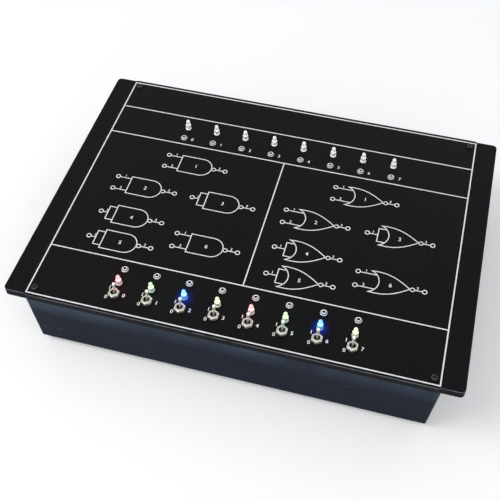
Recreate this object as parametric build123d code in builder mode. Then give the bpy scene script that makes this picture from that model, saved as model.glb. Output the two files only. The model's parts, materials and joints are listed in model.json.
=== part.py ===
"""Digital logic trainer: a black moulded case and a front panel with gates, sockets, lamps and switches.

Millimetres. The origin is on the table under the middle of the case, +X to the right of the front panel,
+Y towards its back edge and +Z up. Every height is counted from the table.
"""

from build123d import *
import os

# ---- Driving dimensions: case ----
case_width = 340.0
case_height = 60.0
rim_depth = 247.0
rim_corner = 5.0
wall_draft = 3.8
wall_thickness = 3.0
floor_thickness = 3.0
base_edge_radius = 2.0
flange_width = 14.5
flange_drop = 6.5
flange_skin = 2.5
flange_setback = 1.0
flange_corner = 3.5
foot_height = 4.0
foot_radius = 7.0
foot_side_inset = 30.5
foot_front_inset = 31.5

# ---- Driving dimensions: front panel ----
panel_thickness = 1.6
panel_gap = 0.15
panel_drop = 0.4
rim_lip = 1.3
panel_screw_side_inset = 6.5
panel_screw_front_inset = 6.4

# ---- Driving dimensions: where things are on the panel ----
# Outputs keep to the back edge of the case, inputs to its front edge, and the first gates to its left edge.
channel_count = 8
channel_pitch = 25.4
output_lamp_inset = 47.7
output_socket_inset = 60.3
input_socket_inset = 40.9
input_lamp_inset = 27.9
switch_inset = 17.3
nand_column_insets = (28.1, 60.8, 93.5)
nor_columns = (14.3, 47.5, 80.6)
gate_rows = (34.2, 0.2, -32.2, -58.4, -45.3)
gate_input_half_spacing = 6.6
nand_output_offset = 50.4
nor_output_offset = 50.9

# ---- Driving dimensions: panel parts ----
plug_bore_radius = 1.0
patch_bore_depth = 13.0
patch_flange_radius = 2.65
patch_flange_height = 0.9
patch_collar_radius = 1.9
patch_collar_height = 2.1
patch_body_length = 12.5
eyelet_bore_depth = 12.0
eyelet_flange_radius = 2.05
eyelet_flange_height = 0.5
eyelet_body_radius = 1.6
eyelet_body_length = 13.0
tail_radius = 0.6
small_nut_flats = 7.0
small_nut_height = 2.0
bezel_foot_radius = 2.5
bezel_foot_height = 0.8
bezel_waist_radius = 2.3
bezel_top_radius = 2.2
bezel_height = 4.4
bezel_barrel_radius = 2.05
bezel_barrel_length = 6.0
lamp_radius = 1.5
lamp_flange_radius = 1.9
lamp_flange_height = 1.0
lamp_height = 6.0
lamp_colours = ("red", "green", "blue", "yellow")
lead_width = 0.5
lead_half_spacing = 1.27
lead_bore_radius = 1.6
bushing_radius = 3.0
bushing_bore_radius = 2.36
bushing_above_panel = 3.3
bushing_length = 8.9
switch_nut_flats = 7.5
switch_nut_height = 2.2
switch_nut_turn = 30.0
washer_radius = 3.7
washer_height = 0.6
switch_body_width = 6.8
switch_body_length = 13.2
switch_body_height = 9.7
switch_pin_pitch = 4.7
switch_pin_radius = 0.6
pivot_below_panel = 2.5
lever_length = 13.6
lever_neck_length = 6.0
lever_neck_radius = 0.9
lever_tip_radius = 1.45
lever_ball_radius = 2.3
lever_tail_radius = 0.8
lever_tail_length = 5.0
lever_tilt = 12.5
lever_well_depth = 2.6

# ---- Driving dimensions: inside ----
board_thickness = 1.6
board_side_inset = 14.5
board_front_inset = 7.5
board_below_panel = 17.4
tail_past_board = 1.6
lead_hole_radius = 0.45
package_pitch = 2.54
package_end = 2.0
package_body_width = 6.4
package_height = 3.4
package_row_half_spacing = 3.81
package_pin_thickness = 0.3
package_seat_height = 4.2
package_seat_width = 10.2
package_slot_width = 1.0
package_slot_depth = 3.0
package_families = {
    "nand_chips": [(-108.0, 17.0, 14), (-70.0, 17.0, 14)],
    "nor_chips": [(40.0, 17.0, 14), (78.0, 17.0, 14)],
    "lamp_driver_chip": [(0.0, 45.0, 20)],
}
resistor_half_spacing = 63.5
resistor_length = 22.8
resistor_width = 2.5
resistor_height = 5.1
supply_width = 88.0
supply_depth = 56.0
supply_x = -5.0
supply_back_inset = 61.5
supply_boss_height = 5.0
supply_boss_radius = 3.6
supply_screw_inset = 4.5
capacitor_side_inset = 22.0
capacitor_past_middle = 8.0
capacitor_radius = 8.0
capacitor_height = 22.0
bridge_past_capacitor = 17.0
bridge_past_middle = 18.0
bridge_side = 10.0
bridge_height = 8.0
sink_side_inset = 30.0
sink_past_middle = 2.0
sink_width = 24.0
sink_skin = 1.5
sink_depth = 10.0
sink_fins = 6
sink_height = 22.0
regulator_width = 10.0
regulator_tab = 1.3
regulator_thickness = 4.5
regulator_height = 15.5
regulator_body_height = 9.0
regulator_stand = 4.0
regulator_hole_height = 16.6
fuse_right_of_middle = 8.0
fuse_before_middle = 17.0
fuse_radius = 2.6
fuse_length = 20.0
fuse_rise = 6.0
fuse_clip_offset = 7.5
fuse_clip_length = 5.0
fuse_clip_width = 8.0
terminal_inset = 7.0
terminal_depth = 8.0
terminal_length = 20.0
terminal_height = 10.0
core_width = 35.0
core_height = 29.0
core_stack = 15.0
core_leg = 6.0
core_middle_leg = 11.0
bobbin_wall = 0.8
strap_thickness = 0.8
strap_lug = 9.0
transformer_side_inset = 59.5
transformer_back_inset = 78.5
transformer_boss_height = 2.0
transformer_hole_depth = 4.0

# ---- Driving dimensions: connector pocket in the back wall ----
pocket_side_inset = 60.5
pocket_z = 26.0
pocket_width = 78.0
pocket_height = 26.0
pocket_face_inset = 6.1
pocket_shell_depth = 5.2
inlet_left_of_pocket = 11.0
inlet_flange_width = 48.0
inlet_flange_height = 22.0
inlet_flange_thickness = 2.4
inlet_body_width = 27.6
inlet_body_height = 19.6
inlet_body_depth = 21.0
inlet_recess_width = 24.2
inlet_recess_height = 16.0
inlet_recess_depth = 17.0
inlet_screw_spacing = 40.0
blade_width = 2.0
blade_height = 4.0
blade_recess = 4.6
blade_spacing = 7.0
blade_rise = 2.0
blade_tail = 5.0
rocker_right_of_pocket = 26.5
rocker_flange_width = 15.0
rocker_flange_height = 21.0
rocker_flange_thickness = 2.0
rocker_body_width = 13.0
rocker_body_height = 18.6
rocker_body_depth = 12.0
rocker_hole_width = 10.6
rocker_hole_height = 15.5
rocker_hole_depth = 9.0
rocker_cap_width = 10.0
rocker_half_length = 6.7
rocker_middle_rise = 0.6
rocker_end_rise = 1.6
rocker_keel_depth = 4.0
rocker_keel_half_length = 3.0
rocker_pivot_depth = 3.0
rocker_pivot_radius = 1.0
rocker_pivot_length = 12.4
rocker_tilt = 10.0

# ---- Driving dimensions: screws and fits ----
screw_radius = 1.45
screw_hole_radius = 1.5
screw_boss_radius = 3.5
screw_head_radius = 2.5
screw_head_height = 1.7
screw_recess_length = 3.2
screw_recess_width = 0.7
screw_recess_depth = 0.9
screw_spare = 1.0
panel_screw_length = 10.0
foot_sink_radius = 3.2
foot_sink_depth = 2.4
foot_boss_height = 6.0
foot_hole_depth = 7.0
chamfer_size = 0.3
rim_edge_radius = 0.6
fit_gap = 0.05
running_gap = 0.06

# ---- Derived values ----
rim_width = case_width - 2 * flange_width
rim_top = foot_height + case_height
floor_top = foot_height + floor_thickness
panel_top = rim_top - panel_drop
panel_under = panel_top - panel_thickness
recess_width = rim_width - 2 * rim_lip
recess_depth = rim_depth - 2 * rim_lip
panel_width = recess_width - 2 * panel_gap
panel_depth = recess_depth - 2 * panel_gap
flange_length = rim_depth - 2 * flange_setback
board_top = panel_top - board_below_panel + board_thickness
board_under = board_top - board_thickness
tail_end = board_under - tail_past_board
panel_screw_spacing_x = recess_width - 2 * panel_screw_side_inset
panel_screw_spacing_y = recess_depth - 2 * panel_screw_front_inset
foot_spacing_x = rim_width - 2 * foot_side_inset
foot_spacing_y = rim_depth - 2 * foot_front_inset
board_width = rim_width - 2 * board_side_inset
board_depth = rim_depth - 2 * board_front_inset
channels = [(n - (channel_count - 1) / 2) * channel_pitch for n in range(channel_count)]
output_lamp_y = rim_depth / 2 - output_lamp_inset
output_socket_y = rim_depth / 2 - output_socket_inset
input_socket_y = input_socket_inset - rim_depth / 2
input_lamp_y = input_lamp_inset - rim_depth / 2
switch_y = switch_inset - rim_depth / 2
nand_columns = [inset - rim_width / 2 for inset in nand_column_insets]
pocket_x = rim_width / 2 - pocket_side_inset
pocket_face_y = rim_depth / 2 - pocket_face_inset
pocket_shell_y = pocket_face_y - wall_thickness
inlet_x = pocket_x - inlet_left_of_pocket
inlet_mouth_y = pocket_face_y + inlet_flange_thickness
inlet_back_y = pocket_face_y - inlet_body_depth
inlet_screw_xs = [inlet_x + side * inlet_screw_spacing / 2 for side in (-1, 1)]
blade_tip_y = inlet_mouth_y - blade_recess
blade_length = blade_tip_y - inlet_back_y + blade_tail
rocker_x = pocket_x + rocker_right_of_pocket
rocker_face_y = pocket_face_y + rocker_flange_thickness
rocker_pivot_y = rocker_face_y - rocker_pivot_depth
supply_y = rim_depth / 2 - supply_back_inset
supply_top = floor_top + supply_boss_height + board_thickness
capacitor_x = supply_x - supply_width / 2 + capacitor_side_inset
bridge_x = capacitor_x + bridge_past_capacitor
sink_x = supply_x + supply_width / 2 - sink_side_inset
sink_y = supply_y + sink_past_middle
fuse_x = supply_x + fuse_right_of_middle
fuse_y = supply_y - fuse_before_middle
fuse_z = supply_top + fuse_rise
transformer_x = rim_width / 2 - transformer_side_inset
transformer_y = rim_depth / 2 - transformer_back_inset
core_base = floor_top + transformer_boss_height
lamp_seat = bezel_height - lamp_flange_height
pivot_z = panel_top - pivot_below_panel
bushing_top = panel_top + bushing_above_panel
switch_body_top = bushing_top - bushing_length

# Each gate's place is its column and row. A tied gate has one terminal for both of its inputs.
gates = ((1, 0, False), (0, 1, False), (2, 1, True), (0, 2, True), (0, 3, True), (2, 4, False))


def terminals_of(columns, output_offset):
    """The places of one family's gate terminals on the panel: inputs, then the output, gate by gate."""
    places = []
    for column, row, tied in gates:
        x, y = columns[column], gate_rows[row]
        rises = (0,) if tied else (gate_input_half_spacing, -gate_input_half_spacing)
        places += [(x, y + rise) for rise in rises]
        places.append((x + output_offset, y))
    return places


nand_places = terminals_of(nand_columns, nand_output_offset)
nor_places = terminals_of(nor_columns, nor_output_offset)
output_lamp_places = [(x, output_lamp_y) for x in channels]
output_socket_places = [(x, output_socket_y) for x in channels]
input_socket_places = [(x, input_socket_y) for x in channels]
input_lamp_places = [(x, input_lamp_y) for x in channels]
switch_places = [(x, switch_y) for x in channels]
patch_places = output_socket_places + input_socket_places
eyelet_places = nand_places + nor_places
lamp_places = output_lamp_places + input_lamp_places
socket_places = patch_places + eyelet_places
lead_places = [(x + side * lead_half_spacing, y) for x, y in lamp_places for side in (-1, 1)]
pin_places = [(x, y + row * switch_pin_pitch) for x, y in switch_places for row in (-1, 0, 1)]
foot_places = [(i * foot_spacing_x / 2, j * foot_spacing_y / 2) for i in (-1, 1) for j in (-1, 1)]
supply_screw_x = supply_width / 2 - supply_screw_inset
supply_screw_y = supply_depth / 2 - supply_screw_inset
supply_screw_places = [
    (supply_x + i * supply_screw_x, supply_y + j * supply_screw_y) for i in (-1, 1) for j in (-1, 1)
]
strap_screw_x = core_width / 2 + strap_thickness + strap_lug / 2
strap_screw_places = [(transformer_x + side * strap_screw_x, transformer_y) for side in (-1, 1)]
blade_places = [
    (inlet_x + side * blade_spacing, blade_tip_y, pocket_z + (-blade_rise if side else blade_rise))
    for side in (-1, 0, 1)
]
resistor_y = (input_socket_y + min(gate_rows)) / 2
resistor_places = [(side * resistor_half_spacing, resistor_y) for side in (-1, 1)]
packages = [package for family in package_families.values() for package in family]


def package_length(pin_count):
    """The length of a dual in-line package with this many pins."""
    return pin_count / 2 * package_pitch + package_end


def package_pins(x, y, pin_count):
    """The places of a package's two rows of pins."""
    first = -(pin_count / 2 - 1) / 2 * package_pitch
    return [
        (x + first + n * package_pitch, y + row * package_row_half_spacing)
        for row in (-1, 1)
        for n in range(pin_count // 2)
    ]


package_pin_places = [place for package in packages for place in package_pins(*package)]


def flat(places, height):
    """Points of the panel's plan, lifted to one height."""
    return [(x, y, height) for x, y in places]


def export(builder, label):
    """Names a finished piece and writes it to the parts folder."""
    builder.part.label = label
    export_step(builder.part, f"parts/{label}.step")


def screw(length):
    """A pan head screw that points down, with the underside of its head at the origin."""
    with BuildPart() as one:
        Cylinder(screw_head_radius, screw_head_height, align=(Align.CENTER, Align.CENTER, Align.MIN))
        fillet(one.edges().sort_by(Axis.Z)[-1], screw_head_height / 2)
        Cylinder(screw_radius, length, align=(Align.CENTER, Align.CENTER, Align.MAX))
        with Locations((0, 0, screw_head_height)):
            for turn in (0, 90):
                Box(
                    screw_recess_length,
                    screw_recess_width,
                    2 * screw_recess_depth,
                    rotation=(0, 0, turn),
                    mode=Mode.SUBTRACT,
                )
    return one.part


def turned(*profile):
    """A solid of revolution about +Z, from a closed outline of (radius, height) corners."""
    with BuildPart() as one:
        with BuildSketch(Plane.XZ):
            with BuildLine():
                Polyline(*profile, close=True)
            make_face()
        revolve(axis=Axis.Z)
    return one.part


os.makedirs("parts", exist_ok=True)

# ---- Case tub: drafted walls, a hollow flange down each side and a recess for the panel ----
with BuildPart() as case_tub:
    with BuildSketch(Plane.XY.offset(rim_top)):
        for side in (-1, 1):
            with Locations((side * (case_width / 2 - flange_width), 0)):
                RectangleRounded(2 * flange_width, flange_length, flange_corner)
    extrude(amount=-flange_drop)
    with BuildSketch(Plane.XY.offset(rim_top - flange_skin)):
        for side in (-1, 1):
            with Locations((side * (case_width / 2 - flange_skin - flange_width), 0)):
                Rectangle(2 * flange_width, flange_length - 2 * flange_skin)
    extrude(amount=-flange_drop, mode=Mode.SUBTRACT)
    with BuildSketch(Plane.XY.offset(rim_top)):
        RectangleRounded(rim_width, rim_depth, rim_corner)
    extrude(amount=-case_height, taper=wall_draft)
    fillet(case_tub.faces().sort_by(Axis.Z)[0].edges(), base_edge_radius)
    with BuildSketch(Plane.XY.offset(rim_top)):
        RectangleRounded(rim_width - 2 * wall_thickness, rim_depth - 2 * wall_thickness, rim_corner)
    extrude(amount=-(rim_top - floor_top), taper=wall_draft, mode=Mode.SUBTRACT)

    # The shell of the connector pocket, and the posts that the panel, feet, supply and transformer screw to
    with Locations((pocket_x, pocket_shell_y, pocket_z)):
        Box(
            pocket_width + 2 * wall_thickness,
            pocket_shell_depth,
            pocket_height + 2 * wall_thickness,
            align=(Align.CENTER, Align.MIN, Align.CENTER),
        )
    with Locations((0, 0, floor_top)):
        with GridLocations(panel_screw_spacing_x, panel_screw_spacing_y, 2, 2):
            Cylinder(
                screw_boss_radius,
                panel_under - floor_top,
                align=(Align.CENTER, Align.CENTER, Align.MIN),
            )
        with GridLocations(foot_spacing_x, foot_spacing_y, 2, 2):
            Cylinder(screw_boss_radius, foot_boss_height, align=(Align.CENTER, Align.CENTER, Align.MIN))
    with Locations(*flat(supply_screw_places, floor_top)):
        Cylinder(supply_boss_radius, supply_boss_height, align=(Align.CENTER, Align.CENTER, Align.MIN))
    with Locations(*flat(strap_screw_places, floor_top)):
        Cylinder(supply_boss_radius, transformer_boss_height, align=(Align.CENTER, Align.CENTER, Align.MIN))

    # The panel's recess, the pocket and everything drilled
    with BuildSketch(Plane.XY.offset(rim_top)):
        RectangleRounded(recess_width, recess_depth, rim_corner - rim_lip)
    extrude(amount=-(rim_top - panel_under), mode=Mode.SUBTRACT)
    fillet(case_tub.faces().sort_by(Axis.Z)[-1].outer_wire().edges(), rim_edge_radius)
    with Locations((pocket_x, pocket_face_y, pocket_z)):
        Box(
            pocket_width,
            rim_depth,
            pocket_height,
            align=(Align.CENTER, Align.MIN, Align.CENTER),
            mode=Mode.SUBTRACT,
        )
    with Locations((inlet_x, pocket_shell_y, pocket_z)):
        Box(
            inlet_body_width + 4 * fit_gap,
            4 * wall_thickness,
            inlet_body_height + 4 * fit_gap,
            mode=Mode.SUBTRACT,
        )
    with Locations((rocker_x, pocket_shell_y, pocket_z)):
        Box(
            rocker_body_width + 4 * fit_gap,
            4 * wall_thickness,
            rocker_body_height + 4 * fit_gap,
            mode=Mode.SUBTRACT,
        )
    with Locations(*[(x, pocket_shell_y, pocket_z) for x in inlet_screw_xs]):
        Cylinder(screw_hole_radius, 4 * wall_thickness, rotation=(90, 0, 0), mode=Mode.SUBTRACT)
    with Locations((0, 0, panel_under)):
        with GridLocations(panel_screw_spacing_x, panel_screw_spacing_y, 2, 2):
            Cylinder(screw_hole_radius, 2 * panel_screw_length, mode=Mode.SUBTRACT)
    with Locations((0, 0, foot_height)):
        with GridLocations(foot_spacing_x, foot_spacing_y, 2, 2):
            Cylinder(screw_hole_radius, 2 * foot_hole_depth, mode=Mode.SUBTRACT)
    with Locations(*flat(supply_screw_places, floor_top + supply_boss_height)):
        Cylinder(screw_hole_radius, 2 * supply_boss_height, mode=Mode.SUBTRACT)
    with Locations(*flat(strap_screw_places, floor_top + transformer_boss_height)):
        Cylinder(screw_hole_radius, 2 * transformer_hole_depth, mode=Mode.SUBTRACT)
export(case_tub, "case_tub")

# ---- Rubber feet, each with a sunk screw ----
with BuildPart() as rubber_feet:
    with GridLocations(foot_spacing_x, foot_spacing_y, 2, 2):
        Cylinder(foot_radius, foot_height, align=(Align.CENTER, Align.CENTER, Align.MIN))
        Cylinder(screw_hole_radius, 2 * foot_height, mode=Mode.SUBTRACT)
        Cylinder(foot_sink_radius, 2 * foot_sink_depth, mode=Mode.SUBTRACT)
export(rubber_feet, "rubber_feet")

with BuildPart() as foot_screws:
    with Locations(*[Location((x, y, foot_sink_depth), (180, 0, 0)) for x, y in foot_places]):
        add(screw(foot_height - foot_sink_depth + foot_hole_depth - screw_spare))
export(foot_screws, "foot_screws")

# ---- Front panel: one plate, drilled for every socket, lamp, switch and screw ----
with BuildPart() as front_panel:
    with BuildSketch(Plane.XY.offset(panel_under)):
        RectangleRounded(panel_width, panel_depth, rim_corner - rim_lip - panel_gap)
        with GridLocations(panel_screw_spacing_x, panel_screw_spacing_y, 2, 2):
            Circle(screw_hole_radius, mode=Mode.SUBTRACT)
        with Locations(*patch_places):
            Circle(patch_collar_radius + fit_gap, mode=Mode.SUBTRACT)
        with Locations(*eyelet_places):
            Circle(eyelet_body_radius + fit_gap, mode=Mode.SUBTRACT)
        with Locations(*lamp_places):
            Circle(bezel_barrel_radius + fit_gap, mode=Mode.SUBTRACT)
        with Locations(*switch_places):
            Circle(bushing_radius + fit_gap, mode=Mode.SUBTRACT)
    extrude(amount=panel_thickness)
export(front_panel, "front_panel")

with BuildPart() as panel_screws:
    with Locations((0, 0, panel_top)):
        with GridLocations(panel_screw_spacing_x, panel_screw_spacing_y, 2, 2):
            add(screw(panel_screw_length))
export(panel_screws, "panel_screws")

# ---- Patch sockets: a flange and a raised collar over the panel, a solder tail under it ----
patch_socket = turned(
    (0, -patch_bore_depth + patch_collar_height),
    (plug_bore_radius, -patch_bore_depth + patch_collar_height),
    (plug_bore_radius, patch_collar_height),
    (patch_collar_radius - chamfer_size, patch_collar_height),
    (patch_collar_radius, patch_collar_height - chamfer_size),
    (patch_collar_radius, patch_flange_height),
    (patch_flange_radius - chamfer_size, patch_flange_height),
    (patch_flange_radius, patch_flange_height - chamfer_size),
    (patch_flange_radius, 0),
    (patch_collar_radius, 0),
    (patch_collar_radius, -patch_body_length),
    (tail_radius, -patch_body_length),
    (tail_radius, tail_end - panel_top),
    (0, tail_end - panel_top),
)
with BuildPart() as output_sockets:
    with Locations(*flat(output_socket_places, panel_top)):
        add(patch_socket)
export(output_sockets, "output_sockets")

with BuildPart() as input_sockets:
    with Locations(*flat(input_socket_places, panel_top)):
        add(patch_socket)
export(input_sockets, "input_sockets")

with BuildPart() as patch_socket_nuts:
    with BuildSketch(Plane.XY.offset(panel_under)):
        with Locations(*patch_places):
            RegularPolygon(small_nut_flats / 2, 6, major_radius=False)
            Circle(patch_collar_radius + fit_gap, mode=Mode.SUBTRACT)
    extrude(amount=-small_nut_height)
export(patch_socket_nuts, "patch_socket_nuts")

# ---- Gate terminals: small sockets swaged into the panel, nearly flush with it ----
gate_terminal = turned(
    (0, -eyelet_bore_depth),
    (plug_bore_radius, -eyelet_bore_depth),
    (plug_bore_radius, eyelet_flange_height),
    (eyelet_flange_radius - chamfer_size / 2, eyelet_flange_height),
    (eyelet_flange_radius, eyelet_flange_height - chamfer_size / 2),
    (eyelet_flange_radius, 0),
    (eyelet_body_radius, 0),
    (eyelet_body_radius, -panel_thickness),
    (eyelet_flange_radius, -panel_thickness),
    (eyelet_body_radius, -panel_thickness - eyelet_flange_height),
    (eyelet_body_radius, -eyelet_body_length),
    (tail_radius, -eyelet_body_length),
    (tail_radius, tail_end - panel_top),
    (0, tail_end - panel_top),
)
with BuildPart() as nand_terminals:
    with Locations(*flat(nand_places, panel_top)):
        add(gate_terminal)
export(nand_terminals, "nand_terminals")

with BuildPart() as nor_terminals:
    with Locations(*flat(nor_places, panel_top)):
        add(gate_terminal)
export(nor_terminals, "nor_terminals")

# ---- Lamps: a 3 mm light-emitting diode seated in a turned bezel, held by a nut under the panel ----
bezel = turned(
    (lamp_flange_radius + fit_gap, bezel_height),
    (bezel_top_radius, bezel_height),
    (bezel_waist_radius, bezel_foot_height),
    (bezel_foot_radius, bezel_foot_height),
    (bezel_foot_radius, 0),
    (bezel_barrel_radius, 0),
    (bezel_barrel_radius, -bezel_barrel_length),
    (lead_bore_radius, -bezel_barrel_length),
    (lead_bore_radius, lamp_seat),
    (lamp_flange_radius + fit_gap, lamp_seat),
)
with BuildPart() as lens:
    Cylinder(lamp_flange_radius, lamp_flange_height, align=(Align.CENTER, Align.CENTER, Align.MIN))
    Cylinder(lamp_radius, lamp_height - lamp_radius, align=(Align.CENTER, Align.CENTER, Align.MIN))
    with Locations((0, 0, lamp_height - lamp_radius)):
        Sphere(lamp_radius)

with BuildPart() as output_lamp_bezels:
    with Locations(*flat(output_lamp_places, panel_top)):
        add(bezel)
export(output_lamp_bezels, "output_lamp_bezels")

with BuildPart() as input_lamp_bezels:
    with Locations(*flat(input_lamp_places, panel_top)):
        add(bezel)
export(input_lamp_bezels, "input_lamp_bezels")

with BuildPart() as lamp_bezel_nuts:
    with BuildSketch(Plane.XY.offset(panel_under)):
        with Locations(*lamp_places):
            RegularPolygon(small_nut_flats / 2, 6, major_radius=False)
            Circle(bezel_barrel_radius + fit_gap, mode=Mode.SUBTRACT)
    extrude(amount=-small_nut_height)
export(lamp_bezel_nuts, "lamp_bezel_nuts")

with BuildPart() as output_lamps:
    with Locations(*flat(output_lamp_places, panel_top + lamp_seat)):
        add(lens.part)
export(output_lamps, "output_lamps")

# The input lamps go through four colours from left to right, twice over.
input_lamps = {}
for number, colour in enumerate(lamp_colours):
    same = input_lamp_places[number :: len(lamp_colours)]
    with BuildPart() as input_lamps[colour]:
        with Locations(*flat(same, panel_top + lamp_seat)):
            add(lens.part)
    export(input_lamps[colour], f"input_lamps_{colour}")

with BuildPart() as lamp_leads:
    with BuildSketch(Plane.XY.offset(tail_end)):
        with Locations(*lead_places):
            Rectangle(lead_width, lead_width)
    extrude(amount=panel_top + lamp_seat - tail_end)
export(lamp_leads, "lamp_leads")

# ---- Toggle switches: body, bushing through the panel, washer and nuts ----
with BuildPart() as switch_bodies:
    with Locations(*flat(switch_places, switch_body_top)):
        Box(
            switch_body_width,
            switch_body_length,
            switch_body_height,
            align=(Align.CENTER, Align.CENTER, Align.MAX),
        )
        Cylinder(bushing_bore_radius, 2 * lever_well_depth, mode=Mode.SUBTRACT)
export(switch_bodies, "switch_bodies")

with BuildPart() as switch_bushings:
    with BuildSketch(Plane.XY.offset(switch_body_top)):
        with Locations(*switch_places):
            Circle(bushing_radius)
            Circle(bushing_bore_radius, mode=Mode.SUBTRACT)
    extrude(amount=bushing_length)
export(switch_bushings, "switch_bushings")

with BuildPart() as switch_washers:
    with BuildSketch(Plane.XY.offset(panel_top)):
        with Locations(*switch_places):
            Circle(washer_radius)
            Circle(bushing_radius + fit_gap, mode=Mode.SUBTRACT)
    extrude(amount=washer_height)
export(switch_washers, "switch_washers")

with BuildPart() as switch_nuts:
    with BuildSketch(Plane.XY.offset(panel_top + washer_height)):
        with Locations(*switch_places):
            RegularPolygon(switch_nut_flats / 2, 6, major_radius=False, rotation=switch_nut_turn)
            Circle(bushing_radius + fit_gap, mode=Mode.SUBTRACT)
    extrude(amount=switch_nut_height)
export(switch_nuts, "switch_nuts")

with BuildPart() as switch_lock_nuts:
    with BuildSketch(Plane.XY.offset(panel_under)):
        with Locations(*switch_places):
            RegularPolygon(switch_nut_flats / 2, 6, major_radius=False)
            Circle(bushing_radius + fit_gap, mode=Mode.SUBTRACT)
    extrude(amount=-switch_nut_height)
export(switch_lock_nuts, "switch_lock_nuts")

with BuildPart() as switch_pins:
    with BuildSketch(Plane.XY.offset(tail_end)):
        with Locations(*pin_places):
            Circle(switch_pin_radius)
    extrude(amount=switch_body_top - switch_body_height - tail_end)
export(switch_pins, "switch_pins")

# ---- Toggle levers: a ball that turns in the bushing, with the bat leaning back to the 1 position ----
with BuildPart() as lever:
    Sphere(lever_ball_radius)
    Cylinder(lever_tail_radius, lever_tail_length, align=(Align.CENTER, Align.CENTER, Align.MAX))
    Cylinder(lever_neck_radius, lever_neck_length, align=(Align.CENTER, Align.CENTER, Align.MIN))
    with Locations((0, 0, lever_neck_length)):
        Cone(
            lever_neck_radius,
            lever_tip_radius,
            lever_length - lever_tip_radius - lever_neck_length,
            align=(Align.CENTER, Align.CENTER, Align.MIN),
        )
    with Locations((0, 0, lever_length - lever_tip_radius)):
        Sphere(lever_tip_radius)

toggle_levers = {}
for number, (x, y) in enumerate(switch_places):
    with BuildPart() as toggle_levers[number]:
        with Locations(Location((x, y, pivot_z), (-lever_tilt, 0, 0))):
            add(lever.part)
    export(toggle_levers[number], f"toggle_lever_{number}")

# ---- Logic board: hangs under the panel on the solder tails and carries the gate packages underneath ----
with BuildPart() as logic_board:
    with BuildSketch(Plane.XY.offset(board_under)):
        Rectangle(board_width, board_depth)
        with Locations(*socket_places):
            Circle(tail_radius + fit_gap, mode=Mode.SUBTRACT)
        with Locations(*lead_places, *package_pin_places):
            Circle(lead_hole_radius, mode=Mode.SUBTRACT)
        with Locations(*pin_places):
            Circle(switch_pin_radius + fit_gap, mode=Mode.SUBTRACT)
    extrude(amount=board_thickness)
export(logic_board, "logic_board")

with BuildPart() as package_seats:
    for x, y, pin_count in packages:
        rows = [(x, y + row * package_row_half_spacing) for row in (-1, 1)]
        with Locations((x, y, board_under)):
            Box(
                package_length(pin_count),
                package_seat_width,
                package_seat_height,
                align=(Align.CENTER, Align.CENTER, Align.MAX),
            )
        with Locations(*flat(rows, board_under - package_seat_height)):
            Box(
                package_length(pin_count) - package_end / 2,
                package_slot_width,
                2 * package_slot_depth,
                mode=Mode.SUBTRACT,
            )
    with Locations(*flat(package_pin_places, tail_end)):
        Box(
            lead_width,
            lead_width,
            board_top + tail_past_board - tail_end,
            align=(Align.CENTER, Align.CENTER, Align.MIN),
        )
export(package_seats, "package_seats")

package_top = board_under - package_seat_height
package_groups = {}
for label, family in package_families.items():
    with BuildPart() as package_groups[label]:
        for x, y, pin_count in family:
            with Locations((x, y, package_top)):
                Box(
                    package_length(pin_count),
                    package_body_width,
                    package_height,
                    align=(Align.CENTER, Align.CENTER, Align.MAX),
                )
            with Locations((x, y, package_top - package_height / 2)):
                with GridLocations(package_pitch, 0, pin_count // 2, 1):
                    Box(
                        lead_width,
                        2 * package_row_half_spacing + package_pin_thickness,
                        package_pin_thickness,
                    )
            with Locations(*flat(package_pins(x, y, pin_count), package_top - package_height / 2)):
                Box(
                    lead_width,
                    package_pin_thickness,
                    package_height / 2 + package_slot_depth / 2,
                    align=(Align.CENTER, Align.CENTER, Align.MIN),
                )
    export(package_groups[label], label)

with BuildPart() as resistor_networks:
    with Locations(*flat(resistor_places, board_under)):
        Box(resistor_length, resistor_width, resistor_height, align=(Align.CENTER, Align.CENTER, Align.MAX))
export(resistor_networks, "resistor_networks")

# ---- Supply board on the floor: rectifier, smoothing can, regulator on its heat sink, fuse in clips ----
with BuildPart() as supply_board:
    with BuildSketch(Plane.XY.offset(supply_top - board_thickness)):
        with Locations((supply_x, supply_y)):
            Rectangle(supply_width, supply_depth)
        with Locations(*supply_screw_places):
            Circle(screw_hole_radius, mode=Mode.SUBTRACT)
    extrude(amount=board_thickness)
export(supply_board, "supply_board")

with BuildPart() as supply_board_screws:
    with Locations(*flat(supply_screw_places, supply_top)):
        add(screw(board_thickness + supply_boss_height - screw_spare))
export(supply_board_screws, "supply_board_screws")

with BuildPart() as smoothing_capacitor:
    with Locations((capacitor_x, supply_y + capacitor_past_middle, supply_top)):
        Cylinder(capacitor_radius, capacitor_height, align=(Align.CENTER, Align.CENTER, Align.MIN))
    fillet(smoothing_capacitor.edges().sort_by(Axis.Z)[-1], 3 * chamfer_size)
export(smoothing_capacitor, "smoothing_capacitor")

with BuildPart() as bridge_rectifier:
    with Locations((bridge_x, supply_y + bridge_past_middle, supply_top)):
        Box(bridge_side, bridge_side, bridge_height, align=(Align.CENTER, Align.CENTER, Align.MIN))
export(bridge_rectifier, "bridge_rectifier")

with BuildPart() as heat_sink:
    with BuildSketch(Plane.XY.offset(supply_top)):
        with Locations((sink_x, sink_y)):
            Rectangle(sink_width, sink_skin)
            with GridLocations(sink_width / sink_fins, 0, sink_fins, 1):
                Rectangle(sink_skin, sink_depth, align=(Align.CENTER, Align.MIN))
    extrude(amount=sink_height)
    with Locations((sink_x, sink_y, supply_top + regulator_hole_height)):
        Cylinder(screw_hole_radius, sink_depth, rotation=(90, 0, 0), mode=Mode.SUBTRACT)
export(heat_sink, "heat_sink")

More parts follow.
